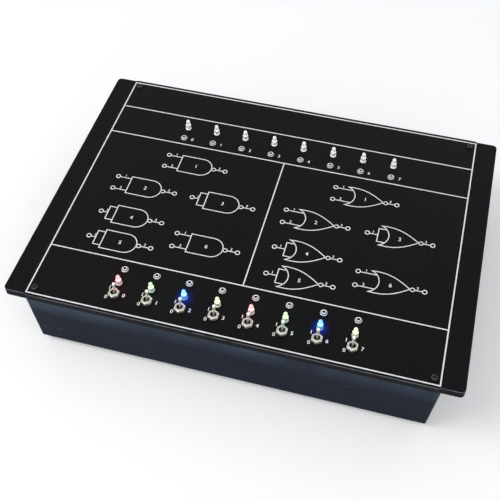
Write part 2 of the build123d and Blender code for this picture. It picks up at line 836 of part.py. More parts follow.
with BuildPart() as voltage_regulator:
    with Locations((sink_x, sink_y - sink_skin / 2, supply_top + regulator_stand)):
        Box(
            regulator_width,
            regulator_tab,
            regulator_height,
            align=(Align.CENTER, Align.MAX, Align.MIN),
        )
        Box(
            regulator_width,
            regulator_thickness,
            regulator_body_height,
            align=(Align.CENTER, Align.MAX, Align.MIN),
        )
    with Locations((sink_x, sink_y - sink_skin / 2 - regulator_thickness / 2, supply_top)):
        with GridLocations(package_pitch, 0, 3, 1):
            Box(lead_width, lead_width, regulator_stand, align=(Align.CENTER, Align.CENTER, Align.MIN))
    with Locations((sink_x, sink_y, supply_top + regulator_hole_height)):
        Cylinder(screw_hole_radius, sink_depth, rotation=(90, 0, 0), mode=Mode.SUBTRACT)
export(voltage_regulator, "voltage_regulator")

regulator_face_y = sink_y - sink_skin / 2 - regulator_tab
with BuildPart() as regulator_screw:
    with Locations(Location((sink_x, regulator_face_y, supply_top + regulator_hole_height), (90, 0, 0))):
        add(screw(regulator_tab + sink_skin + screw_spare))
export(regulator_screw, "regulator_screw")

with BuildPart() as fuse_clips:
    with Locations((fuse_x, fuse_y, supply_top)):
        with GridLocations(2 * fuse_clip_offset, 0, 2, 1):
            Box(
                fuse_clip_length,
                fuse_clip_width,
                fuse_rise,
                align=(Align.CENTER, Align.CENTER, Align.MIN),
            )
    with Locations((fuse_x, fuse_y, fuse_z)):
        Cylinder(fuse_radius + fit_gap, fuse_length, rotation=(0, 90, 0), mode=Mode.SUBTRACT)
export(fuse_clips, "fuse_clips")

with BuildPart() as mains_fuse:
    with Locations((fuse_x, fuse_y, fuse_z)):
        Cylinder(fuse_radius, fuse_length, rotation=(0, 90, 0))
export(mains_fuse, "mains_fuse")

with BuildPart() as supply_terminals:
    with Locations((supply_x, supply_y, supply_top)):
        with GridLocations(supply_width - 2 * terminal_inset, 0, 2, 1):
            Box(
                terminal_depth,
                terminal_length,
                terminal_height,
                align=(Align.CENTER, Align.CENTER, Align.MIN),
            )
export(supply_terminals, "supply_terminals")

# ---- Mains transformer: laminated core, bobbin, winding and the steel strap that screws it down ----
window_width = (core_width - 2 * core_leg - core_middle_leg) / 2
window_height = core_height - 2 * core_leg
middle_leg_side = core_middle_leg + 2 * fit_gap
stack_side = core_stack + 2 * fit_gap
winding_depth = window_width - bobbin_wall - 4 * fit_gap
bobbin_tube = (middle_leg_side + 2 * bobbin_wall, stack_side + 2 * bobbin_wall)
winding_outside = (bobbin_tube[0] + 2 * winding_depth, bobbin_tube[1] + 2 * winding_depth)

with BuildPart() as transformer_core:
    with Locations((transformer_x, transformer_y, core_base)):
        Box(core_width, core_stack, core_height, align=(Align.CENTER, Align.CENTER, Align.MIN))
    with Locations((transformer_x, transformer_y, core_base + core_leg)):
        with GridLocations(core_middle_leg + window_width, 0, 2, 1):
            Box(
                window_width,
                2 * core_stack,
                window_height,
                align=(Align.CENTER, Align.CENTER, Align.MIN),
                mode=Mode.SUBTRACT,
            )
export(transformer_core, "transformer_core")

with BuildPart() as transformer_bobbin:
    with Locations((transformer_x, transformer_y, core_base + core_height / 2)):
        Box(*winding_outside, window_height - 2 * fit_gap)
        Box(*winding_outside, window_height - 2 * bobbin_wall - 2 * fit_gap, mode=Mode.SUBTRACT)
        Box(*bobbin_tube, window_height - 2 * fit_gap)
        Box(middle_leg_side, stack_side, core_height, mode=Mode.SUBTRACT)
export(transformer_bobbin, "transformer_bobbin")

with BuildPart() as transformer_winding:
    with Locations((transformer_x, transformer_y, core_base + core_height / 2)):
        Box(*winding_outside, window_height - 2 * bobbin_wall - 2 * fit_gap)
        Box(*bobbin_tube, core_height, mode=Mode.SUBTRACT)
export(transformer_winding, "transformer_winding")

with BuildPart() as transformer_strap:
    with Locations((transformer_x, transformer_y, core_base)):
        Box(
            core_width + 2 * strap_thickness,
            core_stack,
            core_height + strap_thickness,
            align=(Align.CENTER, Align.CENTER, Align.MIN),
        )
        Box(
            core_width + 2 * (strap_thickness + strap_lug),
            core_stack,
            strap_thickness,
            align=(Align.CENTER, Align.CENTER, Align.MIN),
        )
        Box(
            core_width,
            2 * core_stack,
            core_height,
            align=(Align.CENTER, Align.CENTER, Align.MIN),
            mode=Mode.SUBTRACT,
        )
    with Locations(*flat(strap_screw_places, core_base)):
        Cylinder(screw_hole_radius, 4 * strap_thickness, mode=Mode.SUBTRACT)
export(transformer_strap, "transformer_strap")

with BuildPart() as transformer_screws:
    with Locations(*flat(strap_screw_places, core_base + strap_thickness)):
        add(screw(strap_thickness + transformer_hole_depth - screw_spare))
export(transformer_screws, "transformer_screws")

# ---- Mains inlet in the back pocket: recessed shell, three blades and two screws ----
with BuildPart() as mains_inlet:
    with Locations((inlet_x, pocket_face_y, pocket_z)):
        Box(
            inlet_flange_width,
            inlet_flange_thickness,
            inlet_flange_height,
            align=(Align.CENTER, Align.MIN, Align.CENTER),
        )
        Box(
            inlet_body_width,
            inlet_body_depth,
            inlet_body_height,
            align=(Align.CENTER, Align.MAX, Align.CENTER),
        )
    with Locations((inlet_x, inlet_mouth_y, pocket_z)):
        Box(
            inlet_recess_width,
            inlet_recess_depth,
            inlet_recess_height,
            align=(Align.CENTER, Align.MAX, Align.CENTER),
            mode=Mode.SUBTRACT,
        )
    with Locations(*blade_places):
        Box(
            blade_width + 2 * fit_gap,
            2 * rim_depth,
            blade_height + 2 * fit_gap,
            mode=Mode.SUBTRACT,
        )
    with Locations(*[(x, pocket_face_y, pocket_z) for x in inlet_screw_xs]):
        Cylinder(screw_hole_radius, 4 * inlet_flange_thickness, rotation=(90, 0, 0), mode=Mode.SUBTRACT)
export(mains_inlet, "mains_inlet")

with BuildPart() as inlet_blades:
    with Locations(*blade_places):
        Box(blade_width, blade_length, blade_height, align=(Align.CENTER, Align.MAX, Align.CENTER))
export(inlet_blades, "inlet_blades")

with BuildPart() as inlet_screws:
    with Locations(*[Location((x, inlet_mouth_y, pocket_z), (-90, 0, 0)) for x in inlet_screw_xs]):
        add(screw(inlet_flange_thickness + 2 * wall_thickness))
export(inlet_screws, "inlet_screws")

# ---- Power switch: a frame in the pocket and a rocker that tips about a level axis ----
with BuildPart() as power_switch_frame:
    with Locations((rocker_x, pocket_face_y, pocket_z)):
        Box(
            rocker_flange_width,
            rocker_flange_thickness,
            rocker_flange_height,
            align=(Align.CENTER, Align.MIN, Align.CENTER),
        )
        Box(
            rocker_body_width,
            rocker_body_depth,
            rocker_body_height,
            align=(Align.CENTER, Align.MAX, Align.CENTER),
        )
    with Locations((rocker_x, rocker_face_y, pocket_z)):
        Box(
            rocker_hole_width,
            rocker_hole_depth,
            rocker_hole_height,
            align=(Align.CENTER, Align.MAX, Align.CENTER),
            mode=Mode.SUBTRACT,
        )
    with Locations((rocker_x, rocker_pivot_y, pocket_z)):
        Cylinder(
            rocker_pivot_radius + running_gap,
            rocker_pivot_length + 2 * running_gap,
            rotation=(0, 90, 0),
            mode=Mode.SUBTRACT,
        )
export(power_switch_frame, "power_switch_frame")

# The rocker's outline is drawn about its pivot: first number out of the frame, second number up.
rocker_front = rocker_pivot_depth + rocker_end_rise
with BuildPart() as rocker:
    with BuildSketch(Plane.YZ):
        with BuildLine():
            Polyline(
                (rocker_pivot_depth + rocker_middle_rise, 0),
                (rocker_front, rocker_half_length),
                (0, rocker_half_length),
                (-rocker_keel_depth, rocker_keel_half_length),
                (-rocker_keel_depth, -rocker_keel_half_length),
                (0, -rocker_half_length),
                (rocker_front, -rocker_half_length),
                close=True,
            )
        make_face()
    extrude(amount=rocker_cap_width / 2, both=True)
    Cylinder(rocker_pivot_radius, rocker_pivot_length, rotation=(0, 90, 0))

with BuildPart() as power_rocker:
    with Locations(Location((rocker_x, rocker_pivot_y, pocket_z), (rocker_tilt, 0, 0))):
        add(rocker.part)
export(power_rocker, "power_rocker")
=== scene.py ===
"""Digital logic trainer: finishes, printed lines, turned metal parts, lamps, switches, floor and lights.

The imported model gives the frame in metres: the origin is on the table under the middle of the case, +X to
the right of the front panel, +Y towards its back edge and +Z up. Sizes in the classes below are in
millimetres, and the Shape class turns them into metres. Each class builds one sub-assembly, and each finish
is a small class.
"""

import json
import logging
import math
from collections.abc import Callable, Iterable, Iterator, Mapping, Sequence
from dataclasses import dataclass
from enum import Enum
from typing import Any

import bmesh
import bpy
from mathutils import Matrix, Vector


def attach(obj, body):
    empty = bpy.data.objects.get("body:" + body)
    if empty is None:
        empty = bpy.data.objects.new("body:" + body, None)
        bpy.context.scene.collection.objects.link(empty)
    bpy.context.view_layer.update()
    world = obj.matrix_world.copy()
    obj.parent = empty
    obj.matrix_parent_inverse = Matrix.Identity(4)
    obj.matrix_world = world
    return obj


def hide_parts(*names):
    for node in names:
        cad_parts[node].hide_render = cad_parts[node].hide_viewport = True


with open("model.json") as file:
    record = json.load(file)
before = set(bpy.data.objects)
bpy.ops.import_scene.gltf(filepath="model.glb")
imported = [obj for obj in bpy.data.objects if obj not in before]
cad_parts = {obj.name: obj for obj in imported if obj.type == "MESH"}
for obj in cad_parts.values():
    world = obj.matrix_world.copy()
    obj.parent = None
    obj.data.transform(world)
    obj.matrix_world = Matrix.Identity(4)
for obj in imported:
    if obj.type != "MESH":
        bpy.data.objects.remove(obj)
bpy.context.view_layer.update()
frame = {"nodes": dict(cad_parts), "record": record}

log = logging.getLogger("trainer")

MM = 0.001
CASE = "case"
Point = tuple[float, float]
Colour = tuple[float, float, float]
Ring = list[bmesh.types.BMVert]
Value = "Wire | float | Sequence[float]"
UNSTRETCHED = (1.0, 1.0, 1.0)
NO_LIGHT = (0.0, 0.0, 0.0)
SEEING_RAYS = ("Is Camera Ray", "Is Glossy Ray", "Is Transmission Ray")
TURNED_SHARP_DEG = 30.0
NUT_SHARP_DEG = 25.0


# ---- Shader bench ----


def operator(operation: str, swapped: bool = False) -> Callable[["Wire", Value], "Wire"]:
    """Makes a Wire method that adds one Math node with two inputs.

    Args:
        operation: The node's operation.
        swapped: Whether the wire itself is the second input.

    Returns:
        The method.
    """

    def combine(wire: "Wire", other: Value) -> "Wire":
        """Adds the node to the tree of the wire, and gives its output."""
        return wire.math(operation, *((other, wire) if swapped else (wire, other)))

    return combine


class Wire:
    """One output of a shader node. Python expressions on it add Math nodes."""

    __add__ = operator("ADD")
    __sub__ = operator("SUBTRACT")
    __rsub__ = operator("SUBTRACT", swapped=True)
    __mul__ = operator("MULTIPLY")
    __truediv__ = operator("DIVIDE")
    __pow__ = operator("POWER")
    __gt__ = operator("GREATER_THAN")
    most = operator("MAXIMUM")
    fold = operator("PINGPONG")

    def __init__(self, bench: "Bench", socket: bpy.types.NodeSocket) -> None:
        """Keeps the output and the bench it belongs to."""
        self.bench = bench
        self.socket = socket

    def math(self, operation: str, *values: Value) -> "Wire":
        """Adds one Math node, with the values on its inputs in order."""
        return self.bench.node("ShaderNodeMath", {"operation": operation}, dict(enumerate(values)))

    def size(self) -> "Wire":
        """This value without its sign."""
        return self.math("ABSOLUTE", self)

    def wave(self) -> "Wire":
        """The sine of this value."""
        return self.math("SINE", self)

    def between(self, low: float, high: float) -> "Wire":
        """0 at the first limit and past it, 1 at the second and past it, and even in between."""
        limits = {"Value": self, "From Min": low, "From Max": high}
        return self.bench.node("ShaderNodeMapRange", {"clamp": True}, limits)


class Bench:
    """A material's node tree, with one Principled shader that the finishes feed."""

    def __init__(self, name: str) -> None:
        """Makes an empty material with a Principled shader on its output.

        Args:
            name: The material's name.
        """
        self.material = bpy.data.materials.new(name)
        self.material.use_nodes = True
        self.tree = self.material.node_tree
        self.tree.nodes.clear()
        self.shader = self.tree.nodes.new("ShaderNodeBsdfPrincipled")
        output = self.tree.nodes.new("ShaderNodeOutputMaterial")
        self.tree.links.new(self.shader.outputs[0], output.inputs["Surface"])

    def node(
        self,
        kind: str,
        settings: Mapping[str, Any] | None = None,
        inputs: Mapping[int | str, Value] | None = None,
        output: int | str = 0,
    ) -> Wire:
        """Adds a node to the tree.

        Args:
            kind: The node's type.
            settings: What is set on the node itself.
            inputs: The values or links of its sockets, by name or number.
            output: The socket that the result is taken from.

        Returns:
            The chosen output.
        """
        made = self.tree.nodes.new(kind)
        for key, value in (settings or {}).items():
            setattr(made, key, value)
        for key, value in (inputs or {}).items():
            self.feed(made.inputs[key], value)
        return Wire(self, made.outputs[output])

    def feed(self, socket: bpy.types.NodeSocket, value: Value) -> None:
        """Links a wire to a socket, or writes a plain value on it.

        Args:
            socket: The input to fill.
            value: A wire, a number, a vector or a colour.
        """
        if isinstance(value, Wire):
            self.tree.links.new(value.socket, socket)
        elif isinstance(value, (int, float)):
            socket.default_value = value
        else:
            numbers = tuple(value)
            wanted = len(socket.default_value)
            socket.default_value = numbers + (1.0,) * (wanted - len(numbers))

    def set(self, **inputs: Value) -> None:
        """Fills inputs of the Principled shader, named with underscores for their spaces."""
        for key, value in inputs.items():
            self.feed(self.shader.inputs[key.replace("_", " ")], value)

    def place(self, stretch: Sequence[float] = UNSTRETCHED) -> Wire:
        """Object coordinates, each axis stretched by its own factor."""
        coordinates = self.node("ShaderNodeTexCoord", output="Object")
        return self.node("ShaderNodeMapping", inputs={"Vector": coordinates, "Scale": stretch})

    def axis(self, letter: str) -> Wire:
        """The object coordinate X, Y or Z, in millimetres."""
        return self.node("ShaderNodeSeparateXYZ", inputs={0: self.place()}, output=letter) / MM

    def noise(self, lump_mm: float, detail: float = 2.0, stretch: Sequence[float] = UNSTRETCHED) -> Wire:
        """Soft noise from 0 to 1, with lumps of about one size and a number of finer layers."""
        inputs = {"Vector": self.place(stretch), "Scale": 1.0 / (lump_mm * MM), "Detail": detail}
        return self.node("ShaderNodeTexNoise", inputs=inputs)

    def cells(self, spacing_mm: float) -> Wire:
        """Distance to the nearest of scattered points, 0 at a point and about 1 a spacing away."""
        inputs = {"Vector": self.place(), "Scale": 1.0 / (spacing_mm * MM)}
        return self.node("ShaderNodeTexVoronoi", {"feature": "F1"}, inputs, "Distance")

    def mix(self, share: Value, first: Value, second: Value) -> Wire:
        """Blends two colours by the share of the second."""
        return self.node("ShaderNodeMix", {"data_type": "RGBA"}, {0: share, 6: first, 7: second}, 2)

    def bump(self, height: Wire, depth_mm: float, strength: float = 1.0) -> None:
        """Feeds a height to the shader's normal, where 1 stands for a depth in millimetres."""
        inputs = {"Height": height, "Distance": depth_mm * MM, "Strength": strength}
        self.set(Normal=self.node("ShaderNodeBump", inputs=inputs))


# ---- Finishes ----


@dataclass(frozen=True)
class Finish:
    """A surface finish: a name and a colour, made into a material once."""

    name: str
    colour: Colour

    def material(self) -> bpy.types.Material:
        """The finish's material, made on first use.

        Returns:
            The material.
        """
        made = bpy.data.materials.get(self.name)
        if made is None:
            bench = Bench(self.name)
            self.dress(bench)
            made = bench.material
        return made

    def dress(self, bench: Bench) -> None:
        """Fills the shader on a bench."""
        raise NotImplementedError

    def shade(self, factor: float) -> Colour:
        """The finish's colour made darker or lighter."""
        return tuple(min(1.0, part * factor) for part in self.colour)


@dataclass(frozen=True)
class GrainedMoulding(Finish):
    """Moulded plastic with a spark-eroded grain, faint dust and slightly polished high spots."""

    roughness: float = 0.5
    grain_mm: float = 0.7
    depth_mm: float = 0.05
    dust: float = 0.12
    sheen: float = 0.3
    dust_colour: Colour = (0.32, 0.31, 0.29)

    def tone(self, bench: Bench) -> Wire:
        """The moulding's cloudy colour before grain and dust."""
        clouds = bench.noise(60.0, 3.0).between(0.35, 0.7)
        return bench.mix(clouds, self.shade(0.86), self.shade(1.16))

    def dress(self, bench: Bench) -> None:
        """Mixes grain, cloudy shine and dust.

        Args:
            bench: The material's node tree.
        """
        grain = bench.noise(self.grain_mm, 3.0)
        pits = bench.cells(self.grain_mm * 1.3).between(0.1, 0.6)
        specks = bench.noise(1.6, 1.0).between(0.66, 0.78) * bench.noise(18.0).between(0.45, 0.7)
        grained = bench.mix(grain.between(0.3, 0.7) * 0.35, self.tone(bench), self.shade(1.7))
        bench.set(
            Base_Color=bench.mix(specks * self.dust, grained, self.dust_colour),
            Roughness=bench.noise(45.0, 3.0) * 0.14 - grain * 0.1 + self.roughness,
            IOR=1.46,
            Specular_IOR_Level=self.sheen,
        )
        bench.bump(grain * 0.6 + pits * 0.4, self.depth_mm, 0.7)


@dataclass(frozen=True)
class CaseMoulding(GrainedMoulding):
    """The case's moulding: walls bluer than the flange tops as painted blue light, paler just under the rim
    and along the rim's edge as painted highlights, pale down the corners as wear with a painted highlight,
    and scuffed at a few knocks.
    """

    # The walls' colour, bluer than the flange tops as painted blue light.
    wall: Colour = (0.0074, 0.011, 0.0222)
    # Colour of the paler, bluer band under the rim: a painted highlight.
    painted_highlight: Colour = (0.056, 0.081, 0.125)
    # Colour of the paler corners, wear with a painted highlight, and of the knocks on the front.
    wear_and_highlight: Colour = (0.1, 0.13, 0.17)
    scuffed: Colour = (0.13, 0.16, 0.2)
    # Colour of the painted highlight along the rim's edge.
    rim_highlight: Colour = (0.2, 0.21, 0.24)
    flange_mm: float = 57.0
    rim_mm: float = 64.0
    fade_mm: float = 17.0
    draft: float = 0.0664
    corner_mm: Point = (151.25, 119.25)
    front_mm: float = -100.0
    knocks: tuple[tuple[float, float, float, float], ...] = (
        (-145.5, 20.0, 4.5, 2.0),
        (-133.0, 21.5, 3.5, 1.2),
        (-140.0, 50.0, 6.0, 2.0),
    )

    def wear(self, bench: Bench, height: Wire) -> Wire:
        """Where the walls are paler: down their corners, as wear with a painted highlight, and at a few
        knocks on the front, as scuffs.

        Args:
            bench: The material's node tree.
            height: The height in millimetres.

        Returns:
            How pale the wall is made there, from 0 to 1.
        """
        x, y = bench.axis("X"), bench.axis("Y")
        # Down the corners the pale streak is wear together with a painted highlight on the rounded edge; the
        # knocks below are scuffs.
        corner = 1.0
        for across, edge in zip((x, y), self.corner_mm):
            corner = (across.size() - height * self.draft).between(edge - 1.7, edge - 0.3) * corner
        worn = corner * bench.noise(7.0, 3.0).between(0.3, 0.6) * 0.7
        on_front = 1.0 - (y > self.front_mm)
        ragged = bench.noise(2.0, 4.0).between(0.42, 0.6) * on_front
        for knock_x, knock_z, wide, tall in self.knocks:
            away = (((x - knock_x) / wide) ** 2.0 + ((height - knock_z) / tall) ** 2.0) ** 0.5
            worn = worn.most(away.between(1.0, 0.2) * ragged * 0.8)
        return worn

    def tone(self, bench: Bench) -> Wire:
        """The moulding's colour before grain and dust.

        Args:
            bench: The material's node tree.

        Returns:
            A colour that changes with height: painted blue light on the walls, a painted highlight under the
                rim and along its edge, pale corners and scuffs.
        """
        height = bench.axis("Z")
        flange = height.between(self.flange_mm, self.flange_mm + 1.5)
        # Painted highlight: from the flange down, the walls grow paler and bluer in patches towards the rim.
        fade = height.between(self.flange_mm - self.fade_mm, self.flange_mm + 2.0)
        mottle = bench.noise(2.4, 3.0).between(0.35, 0.65)
        flecked = bench.mix(mottle * 0.55, self.wall, tuple(part * 2.0 for part in self.wall))
        highlight_band = bench.mix(fade * bench.noise(40.0, 3.0).between(0.2, 0.6), flecked, self.painted_highlight)
        wall = bench.mix(self.wear(bench, height), highlight_band, self.wear_and_highlight)
        scuffs = bench.noise(4.0, 4.0, (0.5, 1.0, 1.4)).between(0.66, 0.72)
        patches = bench.noise(30.0).between(0.52, 0.6)
        marked = bench.mix(scuffs * patches * 0.3, wall, self.scuffed)
        # Flange tops keep the plain moulding; below them the walls carry the painted blue light.
        body = bench.mix(flange, marked, super().tone(bench))
        # Painted highlight: a paler, patchy line along the rounded outer edge of the rim.
        below = height.between(self.rim_mm - 0.8, self.rim_mm - 0.5)
        above = height.between(self.rim_mm - 0.02, self.rim_mm - 0.12)
        edge = below * above * bench.noise(9.0, 3.0).between(0.2, 0.55)
        return bench.mix(edge * 0.8, body, self.rim_highlight)


@dataclass(frozen=True)
class SprayedSheet(Finish):
    """Sheet metal sprayed matte: fine orange peel, faint wiping marks and a few bright dust specks."""

    roughness: float = 0.42
    sheen: float = 0.16
    dust_colour: Colour = (0.4, 0.39, 0.37)

    def dress(self, bench: Bench) -> None:
        """Mixes peel, wiping marks and specks.

        Args:
            bench: The material's node tree.
        """
        peel = bench.noise(0.9, 2.0)
        fine = bench.noise(0.22, 2.0)
        wiped = bench.noise(26.0, 4.0, (1.0, 0.22, 1.0)).between(0.35, 0.7)
        specks = bench.cells(7.0).between(0.055, 0.03) * bench.noise(22.0).between(0.5, 0.6)
        tone = bench.mix(wiped, self.shade(0.85), self.shade(1.2))
        bench.set(
            Base_Color=bench.mix(specks * 0.35, tone, self.dust_colour),
            Roughness=wiped * 0.07 + fine * 0.06 + self.roughness,
            IOR=1.48,
            Specular_IOR_Level=self.sheen,
        )
        bench.bump(peel * 0.7 + fine * 0.3, 0.02, 0.5)


@dataclass(frozen=True)
class LampLitSheet(SprayedSheet):
    """The panel's paint, with the light that its two blue lamps throw on it."""

    light: Colour = (0.004, 0.02, 0.36)
    lamp_mm: float = 1.5
    reach_mm: float = 9.5
    first_blue: int = 2
    blue_every: int = 4

    def dress(self, bench: Bench) -> None:
        """Adds a halo round each blue lamp to the paint.

        Args:
            bench: The material's node tree.
        """
        super().dress(bench)
        x, y = bench.axis("X"), bench.axis("Y")
        half_step = self.blue_every * LAYOUT.pitch / 2
        across = (x - LAYOUT.columns[self.first_blue]).fold(half_step)
        away = (across**2.0 + (y - LAYOUT.input_lamp_y) ** 2.0) ** 0.5
        among_channels = 1.0 - (x.size() > 2 * half_step)
        halo = away.between(self.reach_mm, self.lamp_mm) ** 2.4 * among_channels
        bench.set(Emission_Color=bench.mix(halo, NO_LIGHT, self.light), Emission_Strength=1.0)


@dataclass(frozen=True)
class ScreenInk(Finish):
    """Screen-printed ink, a little uneven, with pinholes that let the paint show."""

    def dress(self, bench: Bench) -> None:
        """Mixes ink density and pinholes.

        Args:
            bench: The material's node tree.
        """
        density = bench.noise(2.4, 3.0).between(0.3, 0.6)
        pinholes = bench.cells(0.9).between(0.1, 0.04)
        tone = bench.mix(density, self.shade(0.8), self.colour)
        holed = bench.mix(pinholes * 0.6, tone, self.shade(0.25))
        bench.set(Base_Color=holed, Roughness=density * 0.1 + 0.55)
        bench.bump(bench.noise(0.3), 0.01, 0.4)


@dataclass(frozen=True)
class TurnedMetal(Finish):
    """Plated metal with tool rings, fine scratches and a patchy tarnish."""

    roughness: float = 0.34
    tarnish: float = 0.1
    metallic: float = 1.0

    def dress(self, bench: Bench) -> None:
        """Mixes tool rings, scratches and tarnish.

        Args:
            bench: The material's node tree.
        """
        rings = bench.noise(0.14, 2.0, (0.15, 0.15, 1.0))
        scratches = bench.noise(0.5, 3.0, (1.0, 0.12, 0.3)).between(0.45, 0.75)
        patches = bench.noise(3.2, 3.0).between(0.45, 0.8)
        tone = bench.mix(patches * self.tarnish, self.colour, self.shade(0.55))
        bright = bench.mix(scratches * 0.25, tone, self.shade(1.2))
        rough = patches * 0.16 + scratches * 0.08 + self.roughness
        bench.set(Base_Color=bright, Metallic=self.metallic, Roughness=rough)
        bench.bump(rings * 0.6 + scratches * 0.4, 0.012, 0.5)


@dataclass(frozen=True)
class BlackenedSteel(Finish):
    """Blackened steel, worn to bright metal on its high spots."""

    wear: float = 0.3
    bare: Colour = (0.5, 0.49, 0.47)

    def dress(self, bench: Bench) -> None:
        """Mixes the black coat with bare metal.

        Args:
            bench: The material's node tree.
        """
        worn = bench.noise(0.8, 4.0).between(0.55, 0.72) * self.wear
        tone = bench.mix(worn, self.colour, self.bare)
        bench.set(Base_Color=tone, Metallic=worn * 0.6 + 0.35, Roughness=0.42 - worn * 0.15)
        bench.bump(bench.noise(0.35, 2.0), 0.02, 0.5)


@dataclass(frozen=True)
class ClearEpoxy(Finish):
    """Cast clear epoxy of an unlit lamp, slightly milky, with a faint flow mark and a faint painted glow."""

    clear: float = 0.75
    painted_glow: float = 0.3

    def dress(self, bench: Bench) -> None:
        """Mixes the flow mark into a clear body, with a painted glow.

        Args:
            bench: The material's node tree.
        """
        flow = bench.noise(1.2, 2.0)
        # The emission is a painted glow: the unlit lens gives off a little light in place of the light it
        # reflects.
        bench.set(
            Base_Color=bench.mix(flow, self.shade(0.96), self.colour),
            Roughness=flow * 0.08 + 0.1,
            Transmission_Weight=self.clear,
            IOR=1.52,
            Emission_Color=bench.mix(flow, self.shade(0.9), self.colour),
            Emission_Strength=self.painted_glow,
        )
        bench.bump(flow, 0.01, 0.3)


@dataclass(frozen=True)
class LitEpoxy(Finish):
    """Cast epoxy of a burning lamp: pale and brightest round the chip, deeper in colour towards its ends."""

    glow: Colour
    core: Colour
    strength: float
    chip_mm: float = 69.5
    reach_mm: float = 3.4

    def dress(self, bench: Bench) -> None:
        """Makes the glow fade with height from the chip.

        Args:
            bench: The material's node tree.
        """
        near = (bench.axis("Z") - self.chip_mm).size().between(self.reach_mm, 0.0)
        swirl = bench.noise(0.9, 2.0).between(0.35, 0.65)
        light = bench.mix((near * 0.8 + swirl * 0.25).between(0.15, 0.95), self.glow, self.core)
        bench.set(
            Base_Color=bench.mix(swirl, self.shade(0.9), self.colour),
            Roughness=swirl * 0.08 + 0.12,
            Emission_Color=light,
            Emission_Strength=self.strength,
            Coat_Weight=0.3,
        )
        bench.bump(swirl, 0.01, 0.3)


@dataclass(frozen=True)
class Laminate(Finish):
    """Glass-fibre board under solder resist, with the weave and buried tracks showing faintly."""

    weave_rate: float = 5.2
    track_rates: Point = (0.618, 1.236)

    def dress(self, bench: Bench) -> None:
        """Mixes weave and tracks.

        Args:
            bench: The material's node tree.
        """
        x, y = bench.axis("X"), bench.axis("Y")
        weave = (x * self.weave_rate).wave() * (y * self.weave_rate).wave()
        upright, level = self.track_rates
        tracks = ((x * upright).wave() > 0.72).most((y * level).wave() > 0.86)
        tone = bench.mix(tracks * 0.5, self.colour, self.shade(1.9))
        clouded = bench.mix(bench.noise(14.0) * 0.4, tone, self.shade(0.7))
        bench.set(Base_Color=clouded, Roughness=weave * 0.03 + 0.3)
        bench.bump(tracks * 0.8 + weave * 0.1, 0.04, 0.4)


@dataclass(frozen=True)
class Layered(Finish):
    """Metal in fine layers, such as stacked core sheets or wound wire."""

    pitch_mm: float = 0.5
    axis: str = "Y"
    metallic: float = 0.9
    roughness: float = 0.4

    def dress(self, bench: Bench) -> None:
        """Makes ridges along one axis.

        Args:
            bench: The material's node tree.
        """
        ridge = (bench.axis(self.axis) * (2.0 * math.pi / self.pitch_mm)).wave() * 0.5 + 0.5
        worn = bench.noise(2.0, 3.0)
        tone = bench.mix(ridge, self.shade(0.45), self.colour)
        bench.set(
            Base_Color=bench.mix(worn * 0.3, tone, self.shade(1.3)),
            Metallic=self.metallic,
            Roughness=worn * 0.15 + self.roughness,
        )
        bench.bump(ridge, self.pitch_mm * 0.3, 0.8)


@dataclass(frozen=True)
class PlainMoulding(Finish):
    """Small moulded or dipped part with a fine skin and slight blotches."""

    roughness: float = 0.4
    skin_mm: float = 0.5
    clear: float = 0.0

    def dress(self, bench: Bench) -> None:
        """Mixes blotches and skin.

        Args:
            bench: The material's node tree.
        """
        skin = bench.noise(self.skin_mm, 3.0)
        blotches = bench.noise(self.skin_mm * 14.0, 3.0).between(0.3, 0.7)
        bench.set(
            Base_Color=bench.mix(blotches, self.shade(0.85), self.shade(1.15)),
            Roughness=skin * 0.12 + self.roughness,
            Transmission_Weight=self.clear,
        )
        bench.bump(skin, 0.03, 0.5)


@dataclass(frozen=True)
class PaperBackdrop(Finish):
    """Pale seamless paper that stays white to the eye and still takes the object's shadow."""

    lift: float = 0.2

    def dress(self, bench: Bench) -> None:
        """Adds a little light for camera, mirror and glass rays alone.

        Args:
            bench: The material's node tree.
        """
        fibre = bench.noise(3.0, 4.0)
        bench.set(Base_Color=bench.mix(fibre, self.shade(0.99), self.colour), Roughness=0.8)
        path = bench.tree.nodes.new("ShaderNodeLightPath")
        camera, glossy, through = (Wire(bench, path.outputs[name]) for name in SEEING_RAYS)
        seen = camera.most(glossy).most(through)
        bench.set(Emission_Color=bench.mix(seen, NO_LIGHT, self.shade(self.lift)), Emission_Strength=1.0)


